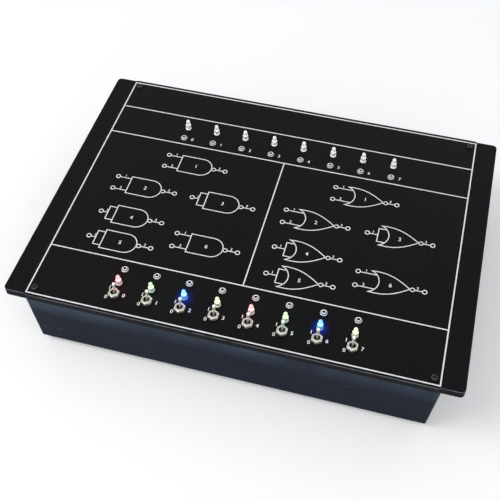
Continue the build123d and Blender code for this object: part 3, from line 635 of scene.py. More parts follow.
class Finishes(Enum):
    """Every finish of the object and the floor."""

    CASE = CaseMoulding("case_moulding", (0.0062, 0.0062, 0.0072), sheen=0.05, dust=0.08)
    PANEL = LampLitSheet("panel_paint", (0.0038, 0.0038, 0.004), sheen=0.075)
    INK = ScreenInk("panel_ink", (0.95, 0.95, 0.95))
    PLATED = TurnedMetal("nickel_plate", (0.68, 0.66, 0.59), 0.3, 0.45)
    SOCKET = TurnedMetal("socket_plate", (0.97, 0.97, 0.94), 0.34, 0.15, 0.65)
    NUT = TurnedMetal("nut_plate", (0.66, 0.64, 0.57), 0.36, 0.35, 0.7)
    SATIN = TurnedMetal("satin_plate", (1.0, 1.0, 0.97), metallic=0.62)
    # Bezel plates of the burning lamps, tinted with each lamp's colour: painted reflection of the lamp's
    # light.
    PLATE_PAINTED_RED_LIGHT = TurnedMetal("plate_painted_red_light", (0.88, 0.66, 0.64), metallic=0.6)
    PLATE_PAINTED_GREEN_LIGHT = TurnedMetal("plate_painted_green_light", (0.66, 0.8, 0.62), metallic=0.6)
    PLATE_PAINTED_BLUE_LIGHT = TurnedMetal("plate_painted_blue_light", (0.24, 0.6, 0.98), metallic=0.6)
    PLATE_PAINTED_YELLOW_LIGHT = TurnedMetal("plate_painted_yellow_light", (0.75, 0.74, 0.56), metallic=0.6)
    BRIGHT = TurnedMetal("bright_plate", (0.92, 0.91, 0.88), 0.24, 0.1, 0.65)
    # Near-black finish for sleeves set in bores and grooves: painted shade.
    BORE_SHADE = BlackenedSteel("painted_bore_shade", (0.006, 0.006, 0.006), 0.05)
    TINNED = TurnedMetal("tinned_metal", (0.72, 0.72, 0.71), 0.34, 0.3)
    ZINC = TurnedMetal("zinc_plate", (0.66, 0.68, 0.7), 0.32, 0.4)
    BLACK_SCREW = BlackenedSteel("blackened_screw", (0.012, 0.012, 0.013))
    CLEAR = ClearEpoxy("clear_epoxy", (0.93, 0.95, 0.94))
    RED = LitEpoxy("red_lamp", (0.9, 0.55, 0.53), (0.9, 0.2, 0.21), (1.0, 0.78, 0.78), 0.85)
    GREEN = LitEpoxy("green_lamp", (0.65, 0.85, 0.58), (0.36, 0.66, 0.27), (0.84, 1.0, 0.78), 0.7)
    BLUE = LitEpoxy("blue_lamp", (0.2, 0.5, 0.95), (0.05, 0.32, 1.0), (0.55, 0.93, 1.0), 1.3)
    YELLOW = LitEpoxy("yellow_lamp", (0.85, 0.85, 0.6), (0.66, 0.65, 0.36), (1.0, 1.0, 0.84), 0.66)
    DIE_CUP = TurnedMetal("lamp_cup", (0.06, 0.06, 0.06), 0.3)
    BOARD = Laminate("board_laminate", (0.02, 0.12, 0.05))
    CORE = Layered("core_sheets", (0.3, 0.29, 0.28))
    COPPER = Layered("winding_wire", (0.62, 0.25, 0.09), 0.4, "Z", 0.85, 0.3)
    RUBBER = GrainedMoulding("foot_rubber", (0.02, 0.02, 0.02), 0.75, 0.5, 0.04, 0.5)
    BLACK = PlainMoulding("black_moulding", (0.014, 0.014, 0.015), 0.42)
    ROCKER = PlainMoulding("rocker_moulding", (0.016, 0.016, 0.017), 0.3)
    CHIP = PlainMoulding("chip_moulding", (0.02, 0.02, 0.021), 0.5, 0.2)
    SWITCH = PlainMoulding("switch_moulding", (0.35, 0.02, 0.015), 0.4)
    RESISTOR = PlainMoulding("resistor_coat", (0.5, 0.28, 0.07), 0.3)
    SLEEVE = PlainMoulding("capacitor_sleeve", (0.02, 0.03, 0.12), 0.25)
    SINK = BlackenedSteel("anodised_sink", (0.015, 0.015, 0.016), 0.1)
    GLASS = PlainMoulding("fuse_glass", (0.92, 0.95, 0.95), 0.05, 0.5, 0.9)
    TERMINAL = PlainMoulding("terminal_moulding", (0.02, 0.2, 0.06), 0.4)
    NYLON = PlainMoulding("bobbin_nylon", (0.8, 0.76, 0.64), 0.5)
    FLOOR = PaperBackdrop("floor_paper", (0.93, 0.93, 0.93))

    @property
    def material(self) -> bpy.types.Material:
        """The finish's material."""
        return self.value.material()


SLOT_FINISHES: dict[str, Finishes] = {
    "case_plastic": Finishes.CASE,
    "panel_print": Finishes.PANEL,
    "black_screw": Finishes.BLACK_SCREW,
    "screw_steel": Finishes.ZINC,
    "plated_metal": Finishes.PLATED,
    "lever_chrome": Finishes.BRIGHT,
    "tinned_wire": Finishes.TINNED,
    "lens_clear": Finishes.CLEAR,
    "lens_red": Finishes.RED,
    "lens_green": Finishes.GREEN,
    "lens_blue": Finishes.BLUE,
    "lens_yellow": Finishes.YELLOW,
    "switch_plastic": Finishes.SWITCH,
    "board_laminate": Finishes.BOARD,
    "black_moulding": Finishes.BLACK,
    "chip_black": Finishes.CHIP,
    "resistor_coat": Finishes.RESISTOR,
    "capacitor_sleeve": Finishes.SLEEVE,
    "sink_aluminium": Finishes.SINK,
    "fuse_glass": Finishes.GLASS,
    "terminal_green": Finishes.TERMINAL,
    "core_steel": Finishes.CORE,
    "bobbin_nylon": Finishes.NYLON,
    "winding_copper": Finishes.COPPER,
    "strap_steel": Finishes.ZINC,
    "rocker_plastic": Finishes.ROCKER,
    "foot_rubber": Finishes.RUBBER,
}


# ---- Mesh bench ----


class Shape:
    """A mesh being made in millimetres, written out as one piece in metres."""

    def __init__(self) -> None:
        """Starts with an empty mesh."""
        self.mesh = bmesh.new()

    def point(self, place: Matrix, radius: float, turns: float, height: float) -> bmesh.types.BMVert:
        """Adds one point of a turned form.

        Args:
            place: Where the form goes.
            radius: The point's distance from the axis.
            turns: How far round the axis it is, where 1 is once round.
            height: Its height.

        Returns:
            The point.
        """
        angle = 2 * math.pi * turns
        spot = Vector((radius * math.cos(angle), radius * math.sin(angle), height))
        return self.mesh.verts.new(place @ spot)

    def lathe(self, profile: Sequence[Point], place: Matrix, segments: int) -> None:
        """Turns an outline round +Z.

        Args:
            profile: Radius and height of each point, along the outline. A radius of 0 closes it to a tip.
            place: Where the turned form goes.
            segments: How many steps there are round it.
        """
        rings: list[Ring] = []
        for radius, height in profile:
            steps = segments if radius else 1
            rings.append([self.point(place, radius, turn / segments, height) for turn in range(steps)])
        self.skin(rings, segments)

    def skin(self, rings: Sequence[Ring], segments: int) -> None:
        """Fills the bands between neighbouring rings.

        Args:
            rings: Rings of points, each of one point or of as many as there are segments.
            segments: How many faces each band has.
        """
        for low, high in zip(rings, rings[1:]):
            for step in range(segments):
                after = (step + 1) % segments
                near, far = (ring[step % len(ring)] for ring in (low, high))
                near_after, far_after = (ring[after % len(ring)] for ring in (low, high))
                corners = list(dict.fromkeys((near, near_after, far_after, far)))
                if len(corners) > 2:
                    self.mesh.faces.new(corners)

    def turn(self, places: Iterable[Matrix], *outlines: tuple[Sequence[Point], int]) -> "Shape":
        """Turns the same outlines at several places.

        Args:
            places: Where the turned forms go.
            outlines: Each outline, with its number of steps round.

        Returns:
            This shape.
        """
        for place in places:
            for profile, segments in outlines:
                self.lathe(profile, place, segments)
        return self

    def slab(self, outline: Sequence[Point], low: float, high: float, place: Matrix) -> None:
        """Raises a flat outline into a closed slab.

        Args:
            outline: The outline's corners, counter-clockwise.
            low: Height of its underside.
            high: Height of its top.
            place: Where it goes.
        """
        bottom, top = (
            [self.mesh.verts.new(place @ Vector((x, y, height))) for x, y in outline]
            for height in (low, high)
        )
        self.mesh.faces.new(bottom[::-1])
        self.mesh.faces.new(top)
        for step in range(len(outline)):
            after = (step + 1) % len(outline)
            self.mesh.faces.new((bottom[step], bottom[after], top[after], top[step]))

    def ribbon(
        self, path: Sequence[Point], width: float, low: float, high: float, closed: bool = False
    ) -> None:
        """Lays a flat line along a path, with mitred corners.

        Args:
            path: The path's points on the panel.
            width: The line's width.
            low: Height of its underside.
            high: Height of its top.
            closed: Whether the path comes back to its start.
        """
        left, right = [], []
        count = len(path)
        for step in range(count):
            here = Vector(path[step])
            before = Vector(path[step - 1]) if closed or step > 0 else None
            after = Vector(path[(step + 1) % count]) if closed or step < count - 1 else None
            into = (here - before).normalized() if before is not None else (after - here).normalized()
            out = (after - here).normalized() if after is not None else into
            across = Vector((-into.y - out.y, into.x + out.x)).normalized()
            reach = width / 2 / max(0.3, across.dot(Vector((-into.y, into.x))))
            left.append(here + across * reach)
            right.append(here - across * reach)
        low_right, low_left, high_right, high_left = (
            [self.mesh.verts.new((spot.x, spot.y, height)) for spot in side]
            for height in (low, high)
            for side in (right, left)
        )
        for step in range(count if closed else count - 1):
            after = (step + 1) % count
            self.mesh.faces.new((high_right[step], high_right[after], high_left[after], high_left[step]))
            self.mesh.faces.new((low_right[step], low_right[after], high_right[after], high_right[step]))
            self.mesh.faces.new((high_left[step], high_left[after], low_left[after], low_left[step]))
        if not closed:
            self.mesh.faces.new((low_right[0], high_right[0], high_left[0], low_left[0]))
            self.mesh.faces.new((low_left[-1], high_left[-1], high_right[-1], low_right[-1]))

    def finish(
        self,
        name: str,
        finish: Finishes,
        body: str = CASE,
        slot: str | None = None,
        node: str | None = None,
        sharp_deg: float = 38.0,
    ) -> bpy.types.Object:
        """Writes the mesh out as a piece that rides on a body.

        Args:
            name: The piece's name.
            finish: Its finish.
            body: The body it moves with.
            slot: The record's material slot, if it has one. Not used.
            node: The solid that it takes the place of, if any.
            sharp_deg: Edges bent more than this stay sharp.

        Returns:
            The new object.
        """
        bmesh.ops.scale(self.mesh, vec=(MM, MM, MM), verts=self.mesh.verts)
        bmesh.ops.recalc_face_normals(self.mesh, faces=self.mesh.faces)
        data = bpy.data.meshes.new(name)
        self.mesh.to_mesh(data)
        self.mesh.free()
        data.shade_smooth()
        data.set_sharp_from_angle(angle=math.radians(sharp_deg))
        data.materials.append(finish.material)
        piece = bpy.data.objects.new(name, data)
        bpy.context.scene.collection.objects.link(piece)
        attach(piece, body)
        if node:
            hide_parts(node)
        log.info("%s: %d faces on %s", name, len(data.polygons), body)
        return piece

    def plated(self, name: str, finish: Finishes, node: str, sharp_deg: float = TURNED_SHARP_DEG) -> None:
        """Writes the mesh out as plated metal on the case, in place of a solid."""
        self.finish(name, finish, CASE, "plated_metal", node, sharp_deg)


def arc(centre: Point, radius: float, start_deg: float, end_deg: float, steps: int = 8) -> list[Point]:
    """Points along a circular arc.

    Args:
        centre: The arc's centre.
        radius: Its radius.
        start_deg: Where it starts, counter-clockwise from +X.
        end_deg: Where it ends.
        steps: How many stretches it is divided into.

    Returns:
        The points, ends included.
    """
    angles = [math.radians(start_deg + (end_deg - start_deg) * step / steps) for step in range(steps + 1)]
    return [(centre[0] + radius * math.cos(angle), centre[1] + radius * math.sin(angle)) for angle in angles]


def rounded(radius: float, height: float, rounding: float, steps: int = 4) -> list[Point]:
    """The rounded upper edge of a turned outline, from its top face to its side."""
    return arc((radius - rounding, height - rounding), rounding, 90, 0, steps)


def bend(start: Point, first: Point, second: Point, end: Point, steps: int = 14) -> list[Point]:
    """Points along a cubic curve.

    Args:
        start: Where it starts.
        first: The point that it leaves towards.
        second: The point that it arrives from.
        end: Where it ends.
        steps: How many stretches it is divided into.

    Returns:
        The points, ends included.
    """
    points = []
    for step in range(steps + 1):
        t = step / steps
        weights = ((1 - t) ** 3, 3 * t * (1 - t) ** 2, 3 * t**2 * (1 - t), t**3)
        corners = (start, first, second, end)
        points.append(tuple(sum(w * corner[i] for w, corner in zip(weights, corners)) for i in (0, 1)))
    return points


def at(x: float, y: float, z: float) -> Matrix:
    """A move to one place, in millimetres."""
    return Matrix.Translation((x, y, z))


# ---- The object's layout ----


@dataclass(frozen=True)
class GateFamily:
    """One family of gates: its columns, and X of each part of a gate counted from its input terminals."""

    name: str
    columns: tuple[float, ...]
    half_height: float
    loop: float
    back: float
    bubble: float
    output: float


@dataclass(frozen=True)
class Layout:
    """Where things are on the front panel, the same as in the solids."""

    channels: int = 8
    pitch: float = 25.4
    output_lamp_y: float = 75.8
    output_socket_y: float = 63.2
    input_socket_y: float = -82.6
    input_lamp_y: float = -95.6
    switch_y: float = -106.2
    nand: GateFamily = GateFamily("nand", (-127.4, -94.7, -62.0), 9.1, 5.4, 11.4, 40.6, 50.4)
    nor: GateFamily = GateFamily("nor", (14.3, 47.5, 80.6), 9.8, 8.3, 10.4, 41.9, 50.9)
    gate_rows: tuple[float, ...] = (34.2, 0.2, -32.2, -58.4, -45.3)
    gates: tuple[tuple[int, int, bool], ...] = (
        (1, 0, False), (0, 1, False), (2, 1, True), (0, 2, True), (0, 3, True), (2, 4, False),
    )
    input_rise: float = 6.6
    top: float = 63.6

    @property
    def columns(self) -> list[float]:
        """The X of each channel."""
        return [(number - (self.channels - 1) / 2) * self.pitch for number in range(self.channels)]

    def row(self, y: float, height: float = 0.0, first: int = 0, step: int = 1) -> list[Matrix]:
        """Places of a row of fittings, above the panel's top by a height."""
        return [at(x, y, self.top + height) for x in self.columns[first::step]]

    def placed(self, family: GateFamily) -> Iterator[tuple[float, float, list[float]]]:
        """The gates of one family.

        Args:
            family: Which family.

        Yields:
            X of the gate's input terminals, Y of its middle, and how far each terminal is above that.
        """
        for column, row, tied in self.gates:
            rises = [0.0] if tied else [self.input_rise, -self.input_rise]
            yield family.columns[column], self.gate_rows[row], rises


LAYOUT = Layout()


class CadDress:
    """Gives each carried-over solid the finish of its material slot."""

    def build(self) -> None:
        """Dresses every node by the record."""
        subparts = frame["record"]["subparts"]
        for entry in subparts:
            for slot in frame["nodes"][entry["node"]].material_slots:
                slot.material = SLOT_FINISHES[entry["material_slot"]].material
        log.info("dressed %d solids", len(subparts))


@dataclass
class PanelPrint:
    """White lines and numbers printed on the panel: border, sections, gate symbols and plain numbers."""

    border_x: float = 152.5
    border_y: float = 120.65
    border_line: float = 1.0
    section_line: float = 0.9
    gate_line: float = 0.75
    section_ys: tuple[float, ...] = (89.2, 56.4, -74.0)
    divider_x: float = 0.6
    ink_height: float = 0.04
    terminal_radius: float = 2.05
    bubble_radius: float = 1.6
    nand_straight: float = 18.2
    nor_hollow: float = 6.5
    nor_nose: float = 40.0
    channel_figure: float = 3.0
    pin_figure: float = 2.4
    gate_figure: float = 3.4
    figure_share: float = 0.7
    figure_weight: float = 0.06

    def build(self) -> None:
        """Prints everything."""
        self._frame_lines()
        self._symbols(LAYOUT.nand, self._nand)
        self._symbols(LAYOUT.nor, self._nor)
        self._numbers()

    def _line(self, shape: Shape, path: Sequence[Point], width: float, closed: bool = False) -> None:
        """Prints one line of a width along a path, which may come back to its start."""
        shape.ribbon(path, width, LAYOUT.top, LAYOUT.top + self.ink_height, closed)

    def _frame_lines(self) -> None:
        """Prints the border and the lines between the sections."""
        shape = Shape()
        x, y = self.border_x, self.border_y
        self._line(shape, [(-x, -y), (x, -y), (x, y), (-x, y)], self.border_line, True)
        inner = x - self.border_line / 2
        for section_y in self.section_ys:
            self._line(shape, [(-inner, section_y), (inner, section_y)], self.section_line)
        half = self.section_line / 2
        upright = [(self.divider_x, self.section_ys[1] - half), (self.divider_x, self.section_ys[2] + half)]
        self._line(shape, upright, self.section_line)
        shape.finish("printed_sections", Finishes.INK, slot="panel_print")

    def _symbols(
        self, family: GateFamily, outline: Callable[[GateFamily], tuple[list[Point], float]]
    ) -> None:
        """Prints the symbols of one family of gates.

        Args:
            family: The family.
            outline: Draws its symbol, and says where the input lines meet it.
        """
        shape = Shape()
        drawn, meets = outline(family)
        for x, y, rises in LAYOUT.placed(family):
            self._line(shape, [(x + px, y + py) for px, py in drawn], self.gate_line, True)
            self._leads_in(shape, x, y, rises, family, x + meets)
            self._way_out(shape, x, y, family)
        shape.finish(f"{family.name}_symbols", Finishes.INK, slot="panel_print")

    def _leads_in(
        self, shape: Shape, x: float, y: float, rises: Sequence[float], family: GateFamily, meets: float
    ) -> None:
        """Prints the input lines of a gate.

        Args:
            shape: The mesh they go into.
            x: The input terminals' X.
            y: The gate's middle.
            rises: How far each terminal is above that. One terminal alone feeds both inputs.
            family: The gate's family.
            meets: The X where the lines meet the gate's outline.
        """
        start = x + self.terminal_radius
        if len(rises) > 1:
            for rise in reversed(rises):
                self._line(shape, [(start, y + rise), (meets, y + rise)], self.gate_line)
            return
        loop = x + family.loop
        upper, lower = y + LAYOUT.input_rise, y - LAYOUT.input_rise
        self._line(shape, [(start, y), (loop - self.gate_line / 2, y)], self.gate_line)
        self._line(shape, [(meets, upper), (loop, upper), (loop, lower), (meets, lower)], self.gate_line)

    def _way_out(self, shape: Shape, x: float, y: float, family: GateFamily) -> None:
        """Prints the inversion bubble and the output line.

        Args:
            shape: The mesh they go into.
            x: The input terminals' X.
            y: The gate's middle.
            family: The gate's family.
        """
        bubble = x + family.bubble
        self._line(shape, arc((bubble, y), self.bubble_radius, 0, 345, 23), self.gate_line, True)
        edge = bubble + self.bubble_radius + self.gate_line / 2
        self._line(shape, [(edge, y), (x + family.output - self.terminal_radius, y)], self.gate_line)

    def _nand(self, family: GateFamily) -> tuple[list[Point], float]:
        """Draws a NAND symbol: straight back, straight sides and a round nose.

        Args:
            family: The gates' family.

        Returns:
            Its outline, and where the input lines meet it.
        """
        back, half = family.back, family.half_height
        nose = arc((back + self.nand_straight, 0.0), half, -90, 90, 20)
        return [(back, -half), *nose, (back, half)], back - self.gate_line / 2

    def _nor(self, family: GateFamily) -> tuple[list[Point], float]:
        """Draws a NOR symbol: hollow back and two curved sides that meet in a point.

        Args:
            family: The gates' family.

        Returns:
            Its outline, and where the input lines meet it.
        """
        tip, half, nose = family.back, family.half_height, self.nor_nose
        upper = bend((tip, half), (tip + 13.0, half + 1.4), (nose - 9.0, half - 3.2), (nose, 0.0))
        lower = [(px, -py) for px, py in upper[-2::-1]]
        radius = (self.nor_hollow + half * half / self.nor_hollow) / 2
        spread = math.degrees(math.asin(half / radius))
        centre = tip + self.nor_hollow - radius
        back = arc((centre, 0.0), radius, -spread, spread, 12)
        meets = centre + math.sqrt(radius**2 - LAYOUT.input_rise**2) - self.gate_line / 2
        return [*upper, *lower, *back[1:-1]], meets

    def _figures(self) -> Iterator[tuple[str, float, float, float]]:
        """The figures on the panel: channels, switch positions, gate pins and gates.

        Yields:
            Text, X and Y of its middle, and its height.
        """
        for number, x in enumerate(LAYOUT.columns):
            yield str(number), x + 7.2, LAYOUT.output_socket_y, self.channel_figure
            yield str(number), x + 7.2, LAYOUT.switch_y + 0.6, self.channel_figure
            yield "1", x - 5.2, LAYOUT.switch_y + 5.4, self.channel_figure
            yield "0", x - 5.2, LAYOUT.switch_y - 3.4, self.channel_figure
        for family in (LAYOUT.nand, LAYOUT.nor):
            for number, (x, y, rises) in enumerate(LAYOUT.placed(family)):
                pin_x = x + (4.4 if len(rises) == 1 else 6.0)
                for pin, rise in enumerate(rises):
                    yield str(pin + 1), pin_x, y + rise + 2.1, self.pin_figure
                yield "3", x + family.output - 5.4, y + 2.1, self.pin_figure
                yield str(number + 1), x + 25.5, y - 0.4, self.gate_figure

    def _numbers(self) -> None:
        """Prints the figures as one piece."""
        shape = Shape()
        for text, x, y, height in self._figures():
            curve = bpy.data.curves.new("number", "FONT")
            curve.body = text
            curve.align_x = "CENTER"
            curve.align_y = "CENTER"
            curve.size = height / self.figure_share * MM
            curve.extrude = self.ink_height / 2 * MM
            curve.offset = self.figure_weight * MM
            made = bpy.data.objects.new("number", curve)
            made.location = (x * MM, y * MM, (LAYOUT.top + self.ink_height / 2) * MM)
            bpy.context.scene.collection.objects.link(made)
            bpy.context.view_layer.update()
            data = bpy.data.meshes.new_from_object(made)
            data.transform(made.matrix_basis)
            shape.mesh.from_mesh(data)
            bpy.data.objects.remove(made)
            bpy.data.curves.remove(curve)
            bpy.data.meshes.remove(data)
        bmesh.ops.scale(shape.mesh, vec=(1 / MM,) * 3, verts=shape.mesh.verts)
        shape.finish("printed_numbers", Finishes.INK, slot="panel_print")


# ---- Turned fittings ----


@dataclass
class PatchSockets:
    """A row of turned patch sockets: flange, groove, raised collar and an open bore, with painted shade as a
    dark sleeve in the bore and a dark ring in the groove.
    """

    name: str
    row_y: float
    bore: float = 1.0
    mouth: float = 1.15
    mouth_edge: float = 0.12
    collar: float = 1.68
    collar_height: float = 2.1
    groove: float = 2.22
    groove_floor: float = 0.12
    flange: float = 2.65
    flange_height: float = 0.9
    barrel: float = 1.9
    barrel_end: float = -12.5
    pin: float = 0.6
    pin_end: float = -19.0
    bottom: float = -10.9
    rounding: float = 0.26

    def build(self) -> None:
        """Turns the row in place of its solid, with painted shade: dark sleeves in the bores and dark rings
        in the grooves.
        """
        floor = self.groove_floor
        socket = [
            (0.0, self.bottom),
            (self.mouth, self.bottom),
            (self.mouth, self.collar_height - 0.2),
            (self.mouth + self.mouth_edge, self.collar_height),
            *rounded(self.collar, self.collar_height, self.rounding),
            (self.collar, floor),
            (self.groove, floor),
            (self.groove, self.flange_height - 0.12),
            (self.groove + 0.1, self.flange_height),
            *rounded(self.flange, self.flange_height, self.rounding),
            (self.flange, 0.0),
            (self.barrel, 0.0),
            (self.barrel, self.barrel_end),
            (self.pin, self.barrel_end),
            (self.pin, self.pin_end),
            (0.0, self.pin_end),
        ]
        # A dark sleeve inside the bore: painted shade.
        bore_shade = [
            (0.0, self.bottom + 0.1),
            (self.bore, self.bottom + 0.1),
            (self.bore, 1.5),
            (self.mouth - 0.02, 1.75),
            (self.mouth - 0.02, self.bottom + 0.1),
        ]
        # A dark ring laid in the groove between collar and flange: painted shade.
        inner, outer = self.collar + 0.01, self.groove - 0.01
        groove_shade = [
            (inner, floor - 0.01), (inner, 0.9), (inner + 0.07, 0.2),
            (outer - 0.07, 0.2), (outer, 0.6), (outer, floor - 0.01), (inner, floor - 0.01),
        ]
        places = LAYOUT.row(self.row_y)
        Shape().turn(places, (socket, 32)).plated(f"{self.name}_turned", Finishes.SOCKET, self.name)
        bore_shades = Shape().turn(places, (bore_shade, 24), (groove_shade, 36))
        bore_shades.finish(f"{self.name}_turned_bore_shades", Finishes.BORE_SHADE)


@dataclass
class GateTerminals:
    """The small swaged sockets of one family of gates."""

    family: GateFamily
    bore: float = 1.0
    mouth: float = 1.35
    flange: float = 2.05
    flange_height: float = 0.5
    body: float = 1.6
    body_end: float = -13.0
    pin: float = 0.6
    pin_end: float = -19.0
    bottom: float = -12.0
    rounding: float = 0.22

    def build(self) -> None:
        """Turns the terminals in place of their solid, with dark sleeves in the bores as painted shade."""
        terminal = [
            (0.0, self.bottom),
            (self.mouth, self.bottom),
            (self.mouth, self.flange_height - 0.1),
            (self.mouth + 0.1, self.flange_height),
            *rounded(self.flange, self.flange_height, self.rounding),
            (self.flange, 0.0),
            (self.body, 0.0),
            (self.body, self.body_end),
            (self.pin, self.body_end),
            (self.pin, self.pin_end),
            (0.0, self.pin_end),
        ]
        # A dark sleeve inside the bore: painted shade.
        bore_shade = [
            (0.0, self.bottom + 0.1),
            (self.bore, self.bottom + 0.1),
            (self.bore, -0.1),
            (self.mouth - 0.03, 0.15),
            (self.mouth - 0.03, self.bottom + 0.1),
        ]
        places = []
        for x, y, rises in LAYOUT.placed(self.family):
            places += [at(x, y + rise, LAYOUT.top) for rise in rises]
            places.append(at(x + self.family.output, y, LAYOUT.top))
        node = f"{self.family.name}_terminals"
        Shape().turn(places, (terminal, 28)).plated(f"{node}_turned", Finishes.BRIGHT, node)
        Shape().turn(places, (bore_shade, 20)).finish(f"{node}_turned_bore_shades", Finishes.BORE_SHADE)


@dataclass(frozen=True)
class LampKind:
    """One colour of lamp in a row: its solid, its epoxy, its bezel's plate, tinted with painted lamp light
    when it burns, and its light if it burns.
    """

    node: str
    epoxy: Finishes
    plate: Finishes
    light: Colour = NO_LIGHT
    watts: float = 0.0

    @property
    def slot(self) -> str:
        """The record's material slot of its lenses."""
        return f"lens_{self.epoxy.name.lower()}"


CLEAR_LAMPS = (LampKind("output_lamps", Finishes.CLEAR, Finishes.SATIN),)
BURNING_LAMPS = (
    LampKind("input_lamps_red", Finishes.RED, Finishes.PLATE_PAINTED_RED_LIGHT, (1.0, 0.1, 0.09), 0.003),
    LampKind("input_lamps_green", Finishes.GREEN, Finishes.PLATE_PAINTED_GREEN_LIGHT, (0.3, 1.0, 0.12), 0.002),
    LampKind("input_lamps_blue", Finishes.BLUE, Finishes.PLATE_PAINTED_BLUE_LIGHT, (0.02, 0.12, 1.0), 0.004),
    LampKind("input_lamps_yellow", Finishes.YELLOW, Finishes.PLATE_PAINTED_YELLOW_LIGHT, (1.0, 0.85, 0.25), 0.001),
)


@dataclass
class LampRow:
    """A row of lamps: a turned bezel each, an epoxy lens, and the cup and posts or the light inside it."""

    name: str
    row_y: float
    kinds: tuple[LampKind, ...]
    burning: bool
    foot: float = 2.5
    waist: float = 1.95
    crown: float = 2.2
    barrel: float = 2.05
    bore: float = 1.6
    barrel_end: float = -6.0
    height: float = 4.4
    seat: float = 3.4
    lens_radius: float = 1.5
    lens_flange: float = 1.9
    lens_height: float = 6.0
    light_above_seat: float = 3.2
    light_radius: float = 1.2

    def build(self) -> None:
        """Builds bezels, lenses, and the lights of burning lamps or the cups of dark ones."""
        every = len(self.kinds)
        for number, kind in enumerate(self.kinds):
            # The bezels of burning lamps take plates tinted with painted lamp light.
            bezels = Shape().turn(LAYOUT.row(self.row_y, 0.0, number, every), (self._bezel(), 36))
            bezels.plated(f"{self.name}_bezels_{number}", kind.plate, f"{self.name}_bezels")
        for number, kind in enumerate(self.kinds):
            cast = Shape().turn(LAYOUT.row(self.row_y, self.seat, number, every), (self._lens(), 36))
            name = f"{kind.node}_cast"
            lenses = cast.finish(name, kind.epoxy, CASE, kind.slot, kind.node, TURNED_SHARP_DEG)
            lenses.visible_shadow = not self.burning
        if self.burning:
            self._glows()
        else:
            self._cups()

    def _glows(self) -> None:
        """Puts a small light inside each burning lamp, so that it tints its bezel and the metal round it."""
        for number, place in enumerate(LAYOUT.row(self.row_y, self.seat + self.light_above_seat)):
            kind = self.kinds[number % len(self.kinds)]
            name = f"{self.name}_{number}_glow"
            data = bpy.data.lights.new(name, "POINT")
            data.color = kind.light
            data.energy = kind.watts
            data.shadow_soft_size = self.light_radius * MM
            lamp = bpy.data.objects.new(name, data)
            lamp.location = place.to_translation() * MM
            bpy.context.scene.collection.objects.link(lamp)

    def _bezel(self) -> list[Point]:
        """Draws a bezel with a rolled foot, a waist and a grooved crown.

        Returns:
            Its outline.
        """
        pocket, crown = self.lens_flange + 0.05, self.crown
        return [
            (self.bore, self.barrel_end),
            (self.bore, self.seat),
            (pocket, self.seat),
            (pocket, self.height - 0.1),
            (pocket + 0.1, self.height),
            *rounded(crown, self.height, 0.15, 3),
            (crown, 3.3),
            (crown - 0.12, 3.2),
            (crown - 0.12, 2.9),
            (crown, 2.8),
            *bend((crown, 2.7), (crown - 0.05, 1.9), (self.waist, 1.4), (self.waist, 0.7), 6),
            *arc((self.foot - 0.25, 0.45), 0.25, 80, 0, 4),
            (self.foot, 0.0),
            (self.barrel, 0.0),
            (self.barrel, self.barrel_end),
            (self.bore, self.barrel_end),
        ]

    def _lens(self) -> list[Point]:
        """Draws a lens: a flange that sits in the bezel, a straight body and a dome.

        Returns:
            Its outline.
        """
        flange, radius = self.lens_flange, self.lens_radius
        dome = arc((0.0, self.lens_height - radius), radius, 0, 90)
        return [
            (0.0, 0.0),
            (flange - 0.1, 0.0),
            (flange, 0.1),
            (flange, 0.9),
            (flange - 0.1, 1.0),
            (radius + 0.1, 1.0),
            (radius, 1.15),
            *dome[:-1],
            (0.0, self.lens_height),
        ]

    def _cups(self) -> None:
        """Makes the reflector cup and the two posts inside each lens."""
        shape = Shape()
        cup = [(0.0, 1.9), (0.28, 1.9), (0.28, 2.3), (0.62, 2.9), (0.56, 2.9), (0.25, 2.45), (0.0, 2.45)]
        for place in LAYOUT.row(self.row_y, self.seat):
            shape.lathe(cup, place, 16)
            for post_x, half, top in ((-0.62, 0.34, 1.7), (0.62, 0.22, 2.3)):
                low_x, high_x = post_x - half, post_x + half
                shape.slab([(low_x, -0.2), (high_x, -0.2), (high_x, 0.2), (low_x, 0.2)], 0.15, top, place)
        shape.finish(f"{self.name}_cups", Finishes.DIE_CUP)


